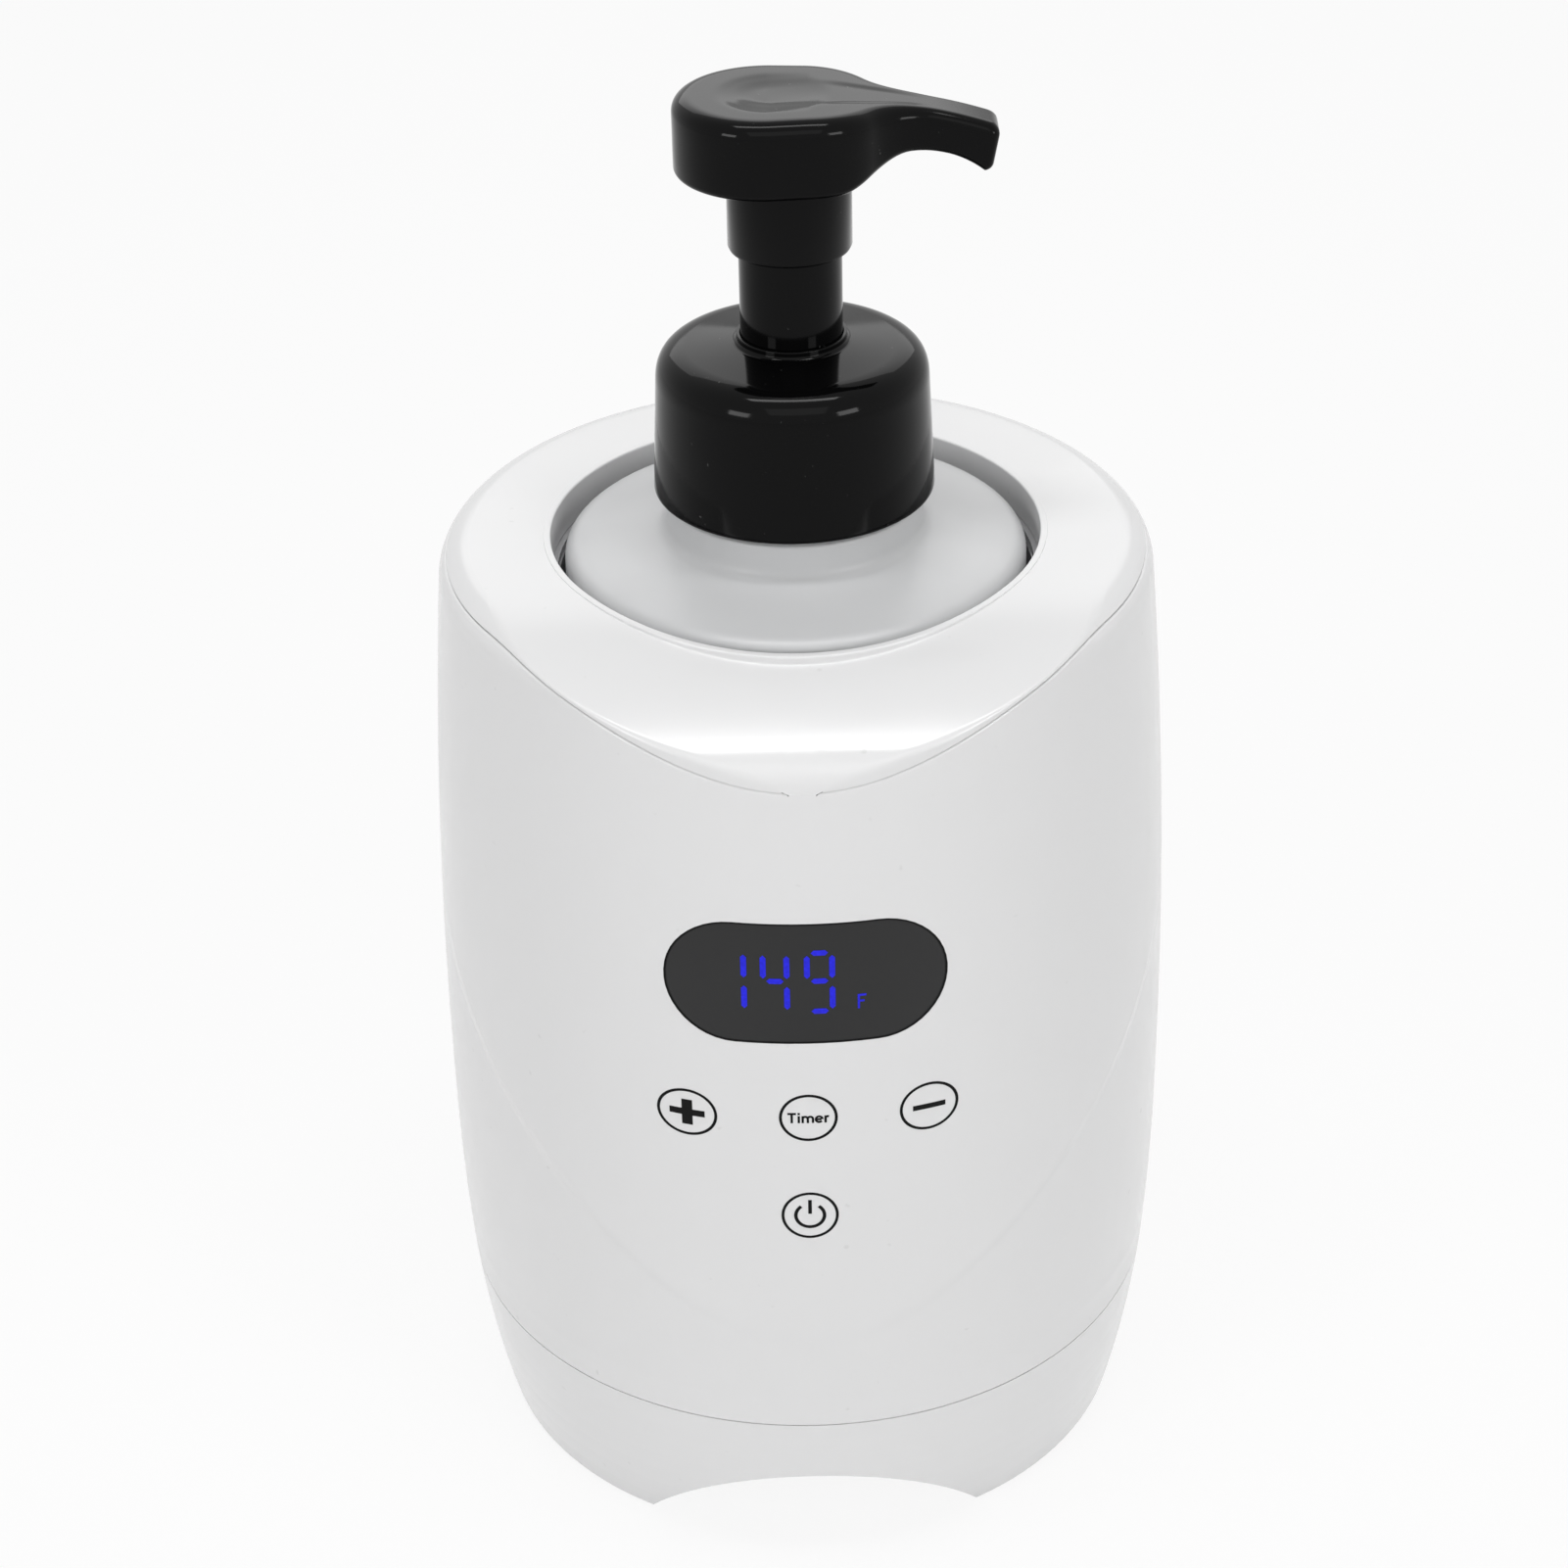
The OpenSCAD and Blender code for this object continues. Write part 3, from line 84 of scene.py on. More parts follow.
FLARE_X, ARCH_X, ARCH_RISE = 22.0, 19.5, 4.0
WINDOW_W, WINDOW_H, WINDOW_Z = 46.5, 22.8, 124.8
PANEL_RISE, PANEL_LOW_Z, PANEL_SLOPE, PANEL_TURN = 0.45, 46.5, 0.92, 15.0
PANEL_STEP_W, PANEL_CENTRE_W, PANEL_TOP_Z = 3.0, 4.0, 112.0
KEY_PITCH, KEY_ROW_Z, KEY_LOW_Z = 20.2, 98.65, 78.4
RING_LINE, PRINT_RISE, PRINT_DEPTH = 0.5, 0.03, 0.06
LIT_DROP, LIT_DEPTH = 0.04, 0.05
BORDER_OUT, BORDER_IN, BORDER_DROP, BORDER_DEPTH = 0.02, 0.37, 0.05, 0.04

# ---- The photograph's view, with its angles in degrees ----
FOCAL, SENSOR = 78.7, 36
EYE_TARGET, EYE_DISTANCE = (-2.86, 0, 124.2), 611.04
EYE_RISE, EYE_ROLL = 31.17, -1.23


def arc_radius(run, fall):
    """Radius of an arc that starts level and falls by fall over the length run."""
    return (run * run + fall * fall) / (2 * fall)


def body_r(z):
    """Outer radius of the body at height z, without the rounded top edge."""
    low = BULGE_R - (BULGE_R - FOOT_R) * np.clip((BULGE_Z - z) / BULGE_Z, 0, None) ** 3
    high = BULGE_R - (BULGE_R - CROWN_R) * np.clip((z - BULGE_Z) / (TOP_Z - BULGE_Z), 0, None) ** 2
    return np.where(z < BULGE_Z, low, high)


FRONT_R = float(body_r(TOP_Z - RAMP_FALL))
EDGE_CENTER_Z = TOP_Z - EDGE_ROUND
EDGE_LEAN = math.atan(2 * (BULGE_R - CROWN_R) * (EDGE_CENTER_Z - BULGE_Z) / (TOP_Z - BULGE_Z) ** 2)
EDGE_Z = TOP_Z - EDGE_ROUND * (1 - math.sin(EDGE_LEAN))
EDGE_CENTER_R = float(body_r(EDGE_Z)) - EDGE_ROUND * math.cos(EDGE_LEAN)


def falling(y, flat_z, run, fall, reach=None):
    """Height of a level line that turns into a falling arc towards the front."""
    start = run - (reach or FRONT_R)
    radius = arc_radius(run, fall)
    inside = np.clip(start - y, 0, radius)
    return flat_z - radius + np.sqrt(radius * radius - inside * inside)


def ramp_z(y):
    """Height of the top surface at y, with its rounded front."""
    z = falling(y, TOP_Z, RAMP_RUN, RAMP_FALL)
    radius = arc_radius(RAMP_RUN, RAMP_FALL)
    start = RAMP_RUN - FRONT_R
    nose_y = -FRONT_R - 0.3 + RAMP_ROUND
    nose_z = TOP_Z - radius + math.sqrt((radius - RAMP_ROUND) ** 2 - (nose_y - start) ** 2)
    touch_y = start + (nose_y - start) * radius / (radius - RAMP_ROUND)
    inside = np.clip(nose_y - y, 0, RAMP_ROUND)
    return np.where(y < touch_y, nose_z + np.sqrt(RAMP_ROUND ** 2 - inside ** 2), z)


def seam_z(y):
    """Height of the parting line between shell and cover at y."""
    return falling(y, TOP_Z - SEAM_DROP, SEAM_RUN, SEAM_FALL)


def lip_z(y):
    """Height of the raised lip's top at y."""
    start = RAMP_RUN - FRONT_R
    return falling(y, TOP_Z + LIP_RISE, MOUTH_R + start, LIP_FALL, MOUTH_R)


# ---- Mesh tools ----
def mesh(name, verts, faces, body, material, slot=None, replaces=(), smooth=40):
    """A piece of the object, from vertices in millimetres."""
    data = bpy.data.meshes.new(name)
    data.from_pydata([tuple(float(c) * MM for c in v) for v in verts], [], faces)
    weld(data)
    data.polygons.foreach_set("use_smooth", [True] * len(data.polygons))
    data.set_sharp_from_angle(angle=math.radians(smooth))
    data.materials.append(material)
    piece = bpy.data.objects.new(name, data)
    bpy.context.scene.collection.objects.link(piece)
    return place(piece, body, replaces)


def weld(data, reach=1e-7):
    """Merges vertices that lie on each other, such as those on the axis."""
    build = bmesh.new()
    build.from_mesh(data)
    bmesh.ops.remove_doubles(build, verts=build.verts[:], dist=reach)
    bmesh.ops.dissolve_degenerate(build, edges=build.edges[:], dist=reach)
    loose = [e for e in build.edges if not e.link_faces]
    bmesh.ops.delete(build, geom=loose, context="EDGES")
    build.to_mesh(data)
    build.free()


def place(piece, body, replaces=()):
    """Makes a finished object ride on its body and stand for CAD nodes."""
    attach(piece, body)
    if replaces:
        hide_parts(*replaces)
    return piece


def along(curve, at):
    """Points of a polyline at the given lengths from its start."""
    steps = np.linalg.norm(np.diff(curve, axis=0), axis=1)
    length = np.concatenate([[0], np.cumsum(steps)])
    at = np.clip(at, 0, length[-1])
    return np.stack([np.interp(at, length, curve[:, i]) for i in range(curve.shape[1])], axis=1)


def curve_length(curve):
    """Length of a polyline."""
    return float(np.linalg.norm(np.diff(curve, axis=0), axis=1).sum())


def rounded_loop(curves, counts, rounds, arc=8):
    """A closed outline from curves that meet at corners; corner i, at the end of curve i, is rounded."""
    lengths = [curve_length(c) for c in curves]
    last = len(curves)
    cut = [min(rounds[i], 0.45 * lengths[i], 0.45 * lengths[(i + 1) % last]) for i in range(last)]
    points = []
    for i, curve in enumerate(curves):
        start, end = cut[i - 1], lengths[i] - cut[i]
        ease = (1 - np.cos(np.linspace(0, math.pi, counts[i]))) / 2
        body = along(curve, start + (end - start) * (0.5 * ease + 0.5 * np.linspace(0, 1, counts[i])))
        points.append(body)
        corner = curve[-1]
        after = along(curves[(i + 1) % last], np.array([cut[i]]))[0]
        t = np.linspace(0, 1, arc + 2)[1:-1, None]
        points.append((1 - t) ** 2 * body[-1] + 2 * t * (1 - t) * corner + t * t * after)
    return np.concatenate(points)


def line(*points):
    """A polyline through the given points."""
    return np.array(points, float)


def swept(name, sections, angles, body, material, **more):
    """A ring-shaped solid from one closed (radius, height) outline for each angle around the axis."""
    count, size = len(angles), len(sections[0])
    radius, height = sections[0].T
    if (radius * np.roll(height, -1) - np.roll(radius, -1) * height).sum() < 0:
        sections = [s[::-1] for s in sections]
    verts = [(r * math.cos(a), r * math.sin(a), z) for a, s in zip(angles, sections) for r, z in s]
    faces = []
    for i in range(count):
        j = (i + 1) % count
        for k in range(size):
            m = (k + 1) % size
            faces.append((i * size + k, j * size + k, j * size + m, i * size + m))
    return mesh(name, verts, faces, body, material, **more)


def lathe(name, curves, counts, rounds, body, material, turns=192, **more):
    """A turned solid from one outline."""
    outline = rounded_loop(curves, counts, rounds)
    outline[:, 0] = np.maximum(outline[:, 0], 0)
    angles = np.linspace(0, 2 * math.pi, turns, endpoint=False)
    return swept(name, [outline] * turns, angles, body, material, **more)


# ---- Materials ----
class Shader:
    """A small helper that builds one material's nodes."""

    def __init__(self, name, color, roughness, **sockets):
        self.material = bpy.data.materials.new(name)
        self.material.use_nodes = True
        self.tree = self.material.node_tree
        self.surface = self.tree.nodes["Principled BSDF"]
        self.surface.inputs["Base Color"].default_value = (*color, 1)
        self.surface.inputs["Roughness"].default_value = roughness
        for key, value in sockets.items():
            self.surface.inputs[key.replace("_", " ")].default_value = value
        self.place = self.node("ShaderNodeTexCoord").outputs["Object"]

    def node(self, kind, **values):
        made = self.tree.nodes.new(kind)
        for key, value in values.items():
            if key in made.inputs:
                made.inputs[key].default_value = value
            else:
                setattr(made, key, value)
        return made

    def link(self, a, b):
        self.tree.links.new(a, b)

    def noise(self, scale, detail=3.0, rough=0.55, stretch=None):
        source = self.place
        if stretch:
            mapping = self.node("ShaderNodeMapping")
            mapping.inputs["Scale"].default_value = stretch
            self.link(self.place, mapping.inputs["Vector"])
            source = mapping.outputs["Vector"]
        made = self.node("ShaderNodeTexNoise", Scale=scale, Detail=detail, Roughness=rough)
        self.link(source, made.inputs["Vector"])
        return made.outputs["Fac"]

    def ranged(self, fac, low, high, start=0.3, end=0.7):
        made = self.node("ShaderNodeMapRange")
        for key, value in (("From Min", start), ("From Max", end), ("To Min", low), ("To Max", high)):
            made.inputs[key].default_value = value
        self.link(fac, made.inputs["Value"])
        return made.outputs["Result"]

    def tinted(self, fac, color_a, color_b):
        made = self.node("ShaderNodeMix", data_type="RGBA")
        made.inputs["A"].default_value = (*color_a, 1)
        made.inputs["B"].default_value = (*color_b, 1)
        self.link(fac, made.inputs["Factor"])
        self.link(made.outputs["Result"], self.surface.inputs["Base Color"])
        return self

    def rough(self, fac, low, high):
        self.link(self.ranged(fac, low, high), self.surface.inputs["Roughness"])
        return self

    def bumped(self, fac, strength, distance):
        made = self.node("ShaderNodeBump", Strength=strength, Distance=distance)
        self.link(fac, made.inputs["Height"])
        self.link(made.outputs["Normal"], self.surface.inputs["Normal"])
        return self


def moulded(name, color, roughness, spread=0.05, grain=900, depth=0.00002, tone=0.04, **sockets):
    """Moulded plastic or rubber: a fine grain, faint tone changes and uneven gloss."""
    shader = Shader(name, color, roughness, **sockets)
    wide = shader.noise(14, 2)
    darker = tuple(c * (1 - tone) for c in color)
    shader.tinted(shader.ranged(wide, 0, 1), color, darker)
    shader.rough(shader.noise(60, 4), roughness - spread, roughness + spread)
    shader.bumped(shader.noise(grain, 2), 0.3, depth)
    return shader.material


def white_housing():
    """Glossy white casing plastic with a few fine specks."""
    color = (0.80, 0.80, 0.803)
    shader = Shader("white_housing", color, 0.2)
    specks = shader.ranged(shader.noise(420, 1, 0.5), 0, 1, 0.77, 0.84)
    shader.tinted(specks, color, (0.72, 0.72, 0.72))
    shader.rough(shader.noise(35, 4), 0.16, 0.26)
    shader.bumped(shader.noise(90, 3), 0.15, 0.00003)
    return shader.material


def black_gloss():
    """Glossy black plastic with faint flow marks and dust."""
    color = (0.002, 0.002, 0.0021)
    shader = Shader("black_gloss", color, 0.08)
    shader.surface.inputs["Specular IOR Level"].default_value = 0.1
    dust = shader.ranged(shader.noise(800, 1, 0.5), 0, 1, 0.77, 0.82)
    shader.tinted(dust, color, (0.05, 0.05, 0.05))
    shader.rough(shader.noise(50, 4), 0.05, 0.12)
    shader.bumped(shader.noise(45, 3), 0.25, 0.00008)
    return shader.material


def milky_bottle():
    """Milky polyethylene that lets a little light in."""
    color = (0.64, 0.645, 0.65)
    shader = Shader("milky_bottle", color, 0.38)
    shader.surface.inputs["Subsurface Weight"].default_value = 0.25
    shader.surface.inputs["Subsurface Radius"].default_value = (0.004, 0.004, 0.004)
    shader.tinted(shader.ranged(shader.noise(25, 3), 0, 1), color, (0.60, 0.606, 0.613))
    shader.rough(shader.noise(80, 3), 0.32, 0.45)
    shader.bumped(shader.noise(120, 3), 0.2, 0.00005)
    return shader.material


def smoked_lens():
    """The dark, half glossy window of the display."""
    color = (0.02, 0.02, 0.0205)
    shader = Shader("smoked_lens", color, 0.12, Specular_IOR_Level=0.3)
    shader.tinted(shader.ranged(shader.noise(30, 3), 0, 1), color, (0.017, 0.017, 0.0175))
    shader.rough(shader.noise(70, 4), 0.08, 0.18)
    return shader.material


def glowing(name, color, strength):
    """A lit segment, with faint unevenness."""
    shader = Shader(name, (0.002, 0.002, 0.01), 0.4, Specular_IOR_Level=0.1)
    shader.surface.inputs["Emission Color"].default_value = (*color, 1)
    shader.link(shader.ranged(shader.noise(1500, 1), strength * 0.85, strength * 1.1),
                shader.surface.inputs["Emission Strength"])
    return shader.material


def metal(name, color, roughness, stretch=None):
    """Bare metal with fine drawn streaks."""
    shader = Shader(name, color, roughness, Metallic=1.0)
    streaks = shader.noise(300, 3, stretch=stretch or (1, 1, 12))
    shader.rough(streaks, roughness - 0.08, roughness + 0.1)
    shader.tinted(shader.ranged(shader.noise(40, 3), 0, 1), color, tuple(c * 0.88 for c in color))
    shader.bumped(streaks, 0.15, 0.00002)
    return shader.material


def felt(name, color):
    """Pressed fibres."""
    shader = Shader(name, color, 0.9)
    fibres = shader.noise(700, 5, 0.7, (1, 1, 3))
    shader.tinted(shader.ranged(fibres, 0, 1), color, tuple(c * 0.7 for c in color))
    shader.bumped(fibres, 0.8, 0.0004)
    shader.surface.inputs["Sheen Weight"].default_value = 0.3
    return shader.material


def board_material():
    """Green circuit board with paler tracks."""
    shader = Shader("circuit_board", (0.02, 0.14, 0.06), 0.35)
    tracks = shader.node("ShaderNodeTexVoronoi", Scale=260.0, feature="DISTANCE_TO_EDGE")
    shader.link(shader.place, tracks.inputs["Vector"])
    shader.tinted(shader.ranged(tracks.outputs["Distance"], 1, 0, 0.02, 0.06),
                  (0.02, 0.14, 0.06), (0.05, 0.24, 0.10))
    shader.rough(shader.noise(200, 3), 0.28, 0.42)
    return shader.material


MATERIALS = {
    "white_housing": white_housing(),
    "black_gloss": black_gloss(),
    "milky_bottle": milky_bottle(),
    "smoked_lens": smoked_lens(),
    "black_plastic": moulded("black_plastic", (0.02, 0.02, 0.02), 0.45),
    "foot_rubber": moulded("foot_rubber", (0.025, 0.025, 0.025), 0.8, depth=0.0001),
    "seal_rubber": moulded("seal_rubber", (0.45, 0.45, 0.46), 0.6),
    "cup_aluminium": metal("cup_aluminium", (0.78, 0.78, 0.79), 0.3, (1, 1, 25)),
    "screw_steel": metal("screw_steel", (0.6, 0.6, 0.6), 0.3),
    "spring_steel": metal("spring_steel", (0.55, 0.55, 0.56), 0.25),
    "ball_steel": metal("ball_steel", (0.7, 0.7, 0.7), 0.1),
    "heater_film": moulded("heater_film", (0.5, 0.2, 0.05), 0.35),
    "insulation_felt": felt("insulation_felt", (0.62, 0.58, 0.5)),
    "sensor_body": moulded("sensor_body", (0.65, 0.62, 0.52), 0.35),
    "circuit_board": board_material(),
    "capacitor_sleeve": moulded("capacitor_sleeve", (0.03, 0.03, 0.15), 0.3),
    "relay_case": moulded("relay_case", (0.04, 0.12, 0.38), 0.4),
    "terminal_green": moulded("terminal_green", (0.03, 0.25, 0.1), 0.4),
    "sensor_pads": moulded("sensor_pads", (0.06, 0.06, 0.065), 0.8),
    "pin_brass": metal("pin_brass", (0.75, 0.6, 0.3), 0.25),
    "lead_black": moulded("lead_black", (0.02, 0.02, 0.02), 0.5),
    "lead_red": moulded("lead_red", (0.4, 0.02, 0.02), 0.5),
    "lead_grey": moulded("lead_grey", (0.4, 0.4, 0.41), 0.5),
    "natural_plastic": moulded("natural_plastic", (0.68, 0.68, 0.67), 0.4),
}
PRINT_INK = moulded("print_ink", (0.005, 0.005, 0.005), 0.5, Specular_IOR_Level=0.1)
DIGIT_LIGHT = glowing("digit_light", (0.022, 0.022, 0.72), 1.0)


def dress_cad_nodes():
    """Gives each CAD node the material of its slot in the record."""
    slots = {row["node"]: row["material_slot"] for row in frame["record"]["subparts"]}
    for name, node in NODES.items():
        node.data.materials.clear()
        node.data.materials.append(MATERIALS[slots[name]])
        node.data.polygons.foreach_set("use_smooth", [True] * len(node.data.polygons))
        node.data.set_sharp_from_angle(angle=math.radians(30))


# ---- Casing ----
TURNS = 360
ANGLES = np.linspace(0, 2 * math.pi, TURNS, endpoint=False)


def side_curve(inset=0.0, low_z=BASE_Z):
    """Side outline of the body from the flat top outwards and down to low_z."""
    edge = np.linspace(math.pi / 2, EDGE_LEAN, 40)
    rounded = np.stack([EDGE_CENTER_R + (EDGE_ROUND - inset) * np.cos(edge),
                        EDGE_CENTER_Z + (EDGE_ROUND - inset) * np.sin(edge)], axis=1)
    z = np.linspace(EDGE_Z, low_z, 260)[1:]
    return np.concatenate([rounded, np.stack([body_r(z) - inset, z], axis=1)])


def crossing(curve, height, sine):
    """Index along curve, as a fraction, where it first lies at or under height(y)."""
    over = curve[:, 1] - height(curve[:, 0] * sine)
    first = int(np.argmax(over <= 1e-6))
    if first == 0:
        return 0.0
    return first - 1 + over[first - 1] / (over[first - 1] - over[first])


def part_of(curve, start, end):
    """The stretch of a polyline between two fractional indices."""
    index = np.arange(len(curve))
    inner = index[(index > start + 1e-6) & (index < end - 1e-6)]
    at = np.concatenate([[start], inner, [end]])
    return np.stack([np.interp(at, index, curve[:, i]) for i in range(2)], axis=1)


def cover_section(angle):
    """Outline of the top cover, with its lip and the opening's collar, at an angle."""
    sine = math.sin(angle)
    side = side_curve()
    top_end = crossing(side, ramp_z, sine)
    seam_end = crossing(side, seam_z, sine)
    corner = part_of(side, top_end, top_end)[0]
    lip_out = MOUTH_R + LIP_W
    radii = np.linspace(lip_out, corner[0], 90)
    top = np.stack([radii, ramp_z(radii * sine)], axis=1)
    top[-1] = corner
    outer = part_of(side, top_end, seam_end)
    low_in = outer[-1] - (WALL, 0)
    low_in[1] = float(seam_z(low_in[0] * sine))
    roof_z = float(ramp_z((MOUTH_R + THROAT_WALL) * sine)) - WALL
    lip_top = float(lip_z(MOUTH_R * sine))
    lip_top_out = float(lip_z(lip_out * sine))
    curves = [top, outer, line(outer[-1], low_in), line(low_in, (MOUTH_R + THROAT_WALL, roof_z)),
              line((MOUTH_R + THROAT_WALL, roof_z), (MOUTH_R + THROAT_WALL, THROAT_Z)),
              line((MOUTH_R + THROAT_WALL, THROAT_Z), (MOUTH_R, THROAT_Z)),
              line((MOUTH_R, THROAT_Z), (MOUTH_R, lip_top)),
              line((MOUTH_R, lip_top), (lip_out, lip_top_out)),
              line((lip_out, lip_top_out), tuple(top[0]))]
    return rounded_loop(curves, [60, 14, 4, 8, 6, 3, 8, 4, 4],
                        [0.9, 0.25, 0.1, 0.1, 0.2, 0.3, 0.35, 0.35, 0.3])


def cover():
    """The top cover, with its sloped front."""
    sections = [cover_section(a) for a in ANGLES]
    return swept("cover_skin", sections, ANGLES, "casing", MATERIALS["white_housing"],
                 slot="white_housing", replaces=["top_cover"], smooth=60)


def panel_step(angle, z):
    """How far the casing lies behind the raised front panel, at an angle around the axis."""
    turn = np.degrees(np.abs((angle + math.pi / 2 + math.pi) % (2 * math.pi) - math.pi))
    low = PANEL_LOW_Z + PANEL_SLOPE * (math.sqrt(turn * turn + PANEL_TURN ** 2) - PANEL_TURN)
    width = PANEL_STEP_W + PANEL_CENTRE_W * math.exp(-(turn / 14) ** 2)
    share = np.clip((z - low) / width, 0, 1)
    raised = share * share * (3 - 2 * share)
    fade = np.clip((PANEL_TOP_Z - low) / 22, 0, 1)
    return PANEL_RISE * (1 - raised) * fade * np.clip((z - BASE_Z) / 6, 0, 1)


def shell_section(angle):
    """Outline of the body shell at an angle around the axis."""
    sine = math.sin(angle)
    side = side_curve()
    top = crossing(side, lambda y: seam_z(y) - SEAM_GAP, sine)
    outer = part_of(side, top, len(side) - 1.0)[::-1].copy()
    outer[:, 0] -= panel_step(angle, outer[:, 1])
    inner_r = EDGE_CENTER_R + 2.9
    rim_z = float(seam_z(inner_r * sine)) - SEAM_GAP
    inner = line((inner_r, rim_z), (inner_r, min(EDGE_Z - 5, rim_z - 0.5)),
                 (float(body_r(EDGE_Z - 12)) - WALL, EDGE_Z - 14))
    z = np.linspace(EDGE_Z - 14, BASE_Z, 60)[1:]
    inner = np.concatenate([inner, np.stack([body_r(z) - WALL, z], axis=1)])
    curves = [outer, line(outer[-1], inner[0]), inner, line(inner[-1], outer[0])]
    return rounded_loop(curves, [150, 5, 40, 4], [0.3, 0.2, 0.1, 0.05])


def stadium(width, height, margin=0.0, steps=24):
    """Outline of a bar with round ends, centred on the origin."""
    end_r = height / 2 + margin
    centre = width / 2 - height / 2
    right = [(centre + end_r * math.cos(a), end_r * math.sin(a))
             for a in np.linspace(-math.pi / 2, math.pi / 2, steps)]
    return right + [(-x, -z) for x, z in right]


def y_prism(name, outline, centre_z, y_low, y_high):
    """A closed prism along Y, for cutting."""
    count = len(outline)
    verts = [(x * MM, y * MM, (z + centre_z) * MM) for y in (y_low, y_high) for x, z in outline]
    faces = [tuple(range(count)), tuple(range(2 * count - 1, count - 1, -1))]
    faces += [(i, i + count, (i + 1) % count + count, (i + 1) % count) for i in range(count)]
    data = bpy.data.meshes.new(name)
    data.from_pydata(verts, [], faces)
    made = bpy.data.objects.new(name, data)
    bpy.context.scene.collection.objects.link(made)
    return made


def cut(piece, tool, smooth=40, operation="DIFFERENCE"):
    """Cuts the tool's volume out of piece, or joins it on, for good."""
    modifier = piece.modifiers.new("cut", "BOOLEAN")
    modifier.operation = operation
    modifier.solver = "EXACT"
    modifier.object = tool
    apply_modifiers(piece)
    bpy.data.objects.remove(tool)
    piece.data.set_sharp_from_angle(angle=math.radians(smooth))


def apply_modifiers(piece):
    """Replaces a piece's mesh by what its modifiers make of it."""
    bpy.context.view_layer.update()
    shown = piece.evaluated_get(bpy.context.evaluated_depsgraph_get())
    data = bpy.data.meshes.new_from_object(shown)
    piece.modifiers.clear()
    piece.data = data


def shell():
    """The body shell, cut for the window and the inlet."""
    sections = [shell_section(a) for a in ANGLES]
    piece = swept("shell_skin", sections, ANGLES, "casing", MATERIALS["white_housing"],
                  slot="white_housing", replaces=["body_shell"])
    cut(piece, y_prism("window_cut", stadium(WINDOW_W, WINDOW_H), WINDOW_Z, -90, -40))
    cut(piece, y_prism("inlet_cut", stadium(INLET_W, INLET_H), INLET_Z, 40, 90))
    return piece


# ---- Display and keys ----
def on_body(x, z, rise):
    """The point of the casing's front at (x, z), standing rise proud of it."""
    radius = float(body_r(z)) + rise
    return x, -math.sqrt(radius * radius - x * x), z


def print_on_body(name, outlines, rise, depth, body_material, slot, step=1.2):
    """Flat marks given as closed (x, z) outlines, bent onto the casing's front."""
    build = bmesh.new()
    for outline in outlines:
        verts = [build.verts.new((x, 0, z)) for x, z in outline]
        build.faces.new(verts)
    bmesh.ops.remove_doubles(build, verts=build.verts[:], dist=1e-4)
    bmesh.ops.triangulate(build, faces=build.faces[:])
    for _ in range(3):
        long_edges = [e for e in build.edges if e.calc_length() > step]
        if not long_edges:
            break
        bmesh.ops.subdivide_edges(build, edges=long_edges, cuts=1)
        bmesh.ops.triangulate(build, faces=build.faces[:])
    return bent(name, build, rise, depth, body_material, slot)


def bent(name, build, rise, depth, body_material, slot):
    """Gives a flat drawing in the X-Z plane a thickness and bends it onto the casing's front."""
    for face in build.faces:
        face.normal_update()
        if face.normal.y > 0:
            face.normal_flip()
    made = bmesh.ops.extrude_face_region(build, geom=build.faces[:])
    lifted = {g for g in made["geom"] if isinstance(g, bmesh.types.BMVert)}
    for vert in build.verts:
        vert.co = on_body(vert.co.x, vert.co.z, rise if vert in lifted else rise - depth)
    bmesh.ops.recalc_face_normals(build, faces=build.faces[:])
    verts = [tuple(v.co) for v in build.verts]
    build.verts.index_update()
    faces = [tuple(v.index for v in f.verts) for f in build.faces]
    build.free()
    return mesh(name, verts, faces, "casing", body_material, slot=slot, smooth=50)


def oval(x, z, half_w, half_h, start=0.0, end=360.0, steps=48):
    """Points around an oval, from start to end in degrees from +X."""
    angles = np.radians(np.linspace(start, end, steps, endpoint=end - start < 360))
    return np.stack([x + half_w * np.cos(angles), z + half_h * np.sin(angles)], axis=1)


def stroke(path, width, closed=False):
    """A line of the given width along a path, as four-sided outlines."""
    path = np.array(path, float)
    ahead = np.roll(path, -1, axis=0) - path
    if not closed:
        ahead[-1] = ahead[-2]
    ahead /= np.linalg.norm(ahead, axis=1)[:, None]
    behind = np.roll(ahead, 1, axis=0)
    if not closed:
        behind[0] = ahead[0]
    way = ahead + behind
    way /= np.linalg.norm(way, axis=1)[:, None]
    side = np.stack([-way[:, 1], way[:, 0]], axis=1) * width / 2
    left, right = path + side, path - side
    last = len(path) if closed else len(path) - 1
    ends = [(i, (i + 1) % len(path)) for i in range(last)]
    return [[tuple(left[i]), tuple(right[i]), tuple(right[j]), tuple(left[j])] for i, j in ends]


def moved(outlines, x, z):
    """Outlines shifted by x and z."""
    return [[(a + x, b + z) for a, b in outline] for outline in outlines]


def box_outline(width, height):
    """A bar centred on the origin."""
    return [(-width / 2, -height / 2), (width / 2, -height / 2),
            (width / 2, height / 2), (-width / 2, height / 2)]


def cross_outline(width, height, upright_w, level_h):
    """A plus sign centred on the origin, with its own width for each bar."""
    a, b, c, d = width / 2, height / 2, upright_w / 2, level_h / 2
    return [(-a, -d), (-c, -d), (-c, -b), (c, -b), (c, -d), (a, -d),
            (a, d), (c, d), (c, b), (-c, b), (-c, d), (-a, d)]


def key_ring(half_w, half_h):
    """The printed oval around a key."""
    return stroke(oval(0, 0, half_w, half_h), RING_LINE, closed=True)


